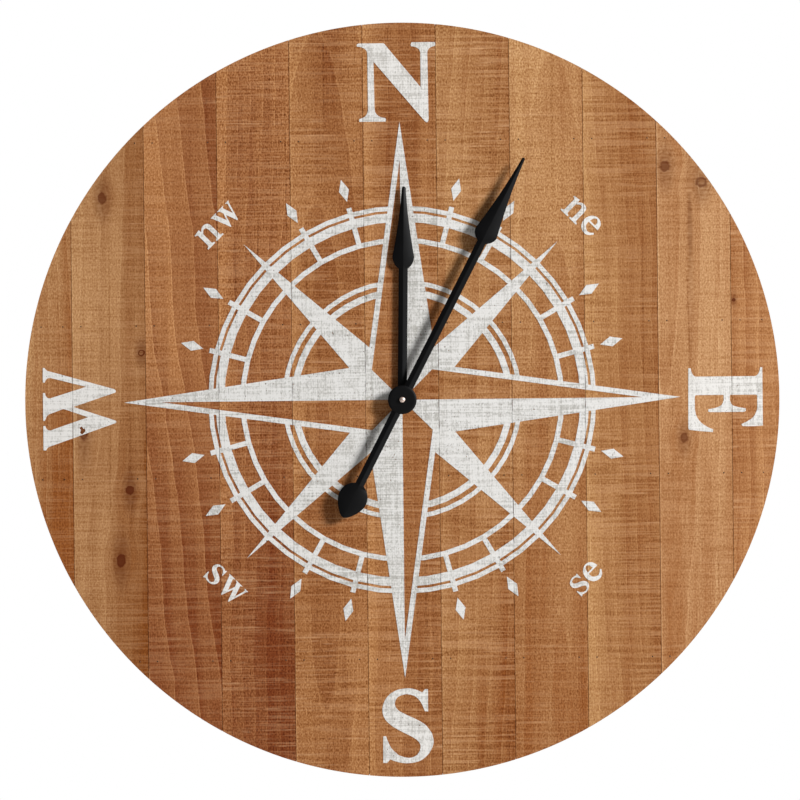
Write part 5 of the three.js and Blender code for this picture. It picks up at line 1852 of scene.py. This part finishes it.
def add_slab(mesh: bmesh.types.BMesh, loops: Sequence[Sequence[Point]], front: float, back: float) -> None:
    """Adds a flat slab to a mesh.

    Args:
        mesh: The mesh to add to.
        loops: The slab's outline and then its holes, as x and z.
        front: Where its front lies along y.
        back: Where its back lies.
    """
    flat = [[Vector((x, z, 0.0)) for x, z in loop] for loop in loops]
    corners = [point for loop in flat for point in loop]
    upper = [mesh.verts.new((point.x, front, point.y)) for point in corners]
    lower = [mesh.verts.new((point.x, back, point.y)) for point in corners]
    for triangle in tessellate_polygon(flat):
        mesh.faces.new([upper[index] for index in triangle])
        mesh.faces.new([lower[index] for index in reversed(triangle)])
    start = 0
    for loop in flat:
        for index in range(len(loop)):
            here, after = start + index, start + (index + 1) % len(loop)
            mesh.faces.new((upper[here], lower[here], lower[after], upper[after]))
        start += len(loop)


def turn_profile(
    mesh: bmesh.types.BMesh, profile: Sequence[Point], centre: Point, steps: int, flute: float = 0.0
) -> None:
    """Turns a profile round an axis along Y and adds it to a mesh.

    Args:
        mesh: The mesh to add to.
        profile: Pairs of radius and y, from the front to the back.
        centre: The axis as x and z.
        steps: Facets round the axis.
        flute: How much every second pair of points is drawn in, as a share of the radius.
    """
    shares = [1 - flute * (step // 2 % 2) for step in range(steps)]
    spokes = [(share * x, share * z) for share, (x, z) in zip(shares, circle(0.0, 0.0, 1.0, steps))]
    rings = []
    for radius, y in profile:
        around = spokes if radius else [(0.0, 0.0)]
        rings.append([mesh.verts.new((centre[0] + radius * x, y, centre[1] + radius * z)) for x, z in around])
    for ring, after in zip(rings, rings[1:]):
        for step in range(steps):
            beside = (step + 1) % steps
            spots = ((ring, step), (after, step), (after, beside), (ring, beside))
            corners = [verts[index % len(verts)] for verts, index in spots]
            mesh.faces.new(list(dict.fromkeys(corners)))


def add_object(name: str, data: bpy.types.ID) -> bpy.types.Object:
    """Puts a mesh, lamp or camera into the scene.

    Args:
        name: The object's name.
        data: What it holds.

    Returns:
        The object.
    """
    made = bpy.data.objects.new(name, data)
    bpy.context.collection.objects.link(made)
    return made


def add_mesh(name: str, mesh: bmesh.types.BMesh) -> bpy.types.Object:
    """Puts a worked mesh into the scene.

    Args:
        name: The object's name.
        mesh: The mesh, which is freed.

    Returns:
        The object.
    """
    data = bpy.data.meshes.new(name)
    mesh.to_mesh(data)
    mesh.free()
    return add_object(name, data)


def carved(solid: bmesh.types.BMesh, tool: bmesh.types.BMesh) -> bmesh.types.BMesh:
    """Cuts one mesh out of another.

    Args:
        solid: The mesh to cut, which is freed.
        tool: The mesh to take away, which is freed.

    Returns:
        The cut mesh.
    """
    for shape in (solid, tool):
        bmesh.ops.recalc_face_normals(shape, faces=shape.faces)
    block, knife = add_mesh("carving", solid), add_mesh("carving", tool)
    cut = block.modifiers.new("cut", "BOOLEAN")
    cut.operation = "DIFFERENCE"
    cut.solver = "EXACT"
    cut.object = knife
    depsgraph = bpy.context.evaluated_depsgraph_get()
    data = bpy.data.meshes.new_from_object(block.evaluated_get(depsgraph))
    result = bmesh.new()
    result.from_mesh(data)
    for used in (data, block.data, knife.data):
        bpy.data.meshes.remove(used)
    return result


def make_piece(
    name: str, mesh: bmesh.types.BMesh, finish: Finish, body: str, smooth: bool = True,
    sharp: float = 30.0,
) -> bpy.types.Object:
    """Makes an object of a mesh, gives it its finish and lets it ride on a body.

    Args:
        name: The piece's name.
        mesh: The mesh, which is freed.
        finish: The finish.
        body: The body that it moves with.
        smooth: Whether its faces are shaded smooth.
        sharp: Edges bent more than this many degrees stay sharp.

    Returns:
        The piece.
    """
    bmesh.ops.recalc_face_normals(mesh, faces=mesh.faces)
    for edge in mesh.edges:
        if edge.is_manifold and edge.calc_face_angle() > math.radians(sharp):
            edge.smooth = False
    for face in mesh.faces:
        face.smooth = smooth
    piece = add_mesh(name, mesh)
    piece.data.materials.append(finish.material())
    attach(piece, body)
    LOG.info("built %s with %d faces", name, len(piece.data.polygons))
    return piece


def main() -> None:
    """Builds and dresses the clock, then its studio."""
    logging.basicConfig(level=logging.INFO, format="%(name)s: %(message)s")
    board = PlankBoard()
    board.dress()
    board.build_brads()
    board.build_seam_shade_strips()
    marks = PaintedMarks()
    marks.dress()
    marks.build_letters()
    marks.build_diamonds()
    HandSet().build()
    movement = Movement()
    movement.dress()
    movement.build_mouldings()
    movement.build_knob()
    movement.build_battery()
    hanger = Hanger()
    hanger.dress()
    hanger.build_screws()
    Studio().build()


if __name__ == "__main__":
    main()
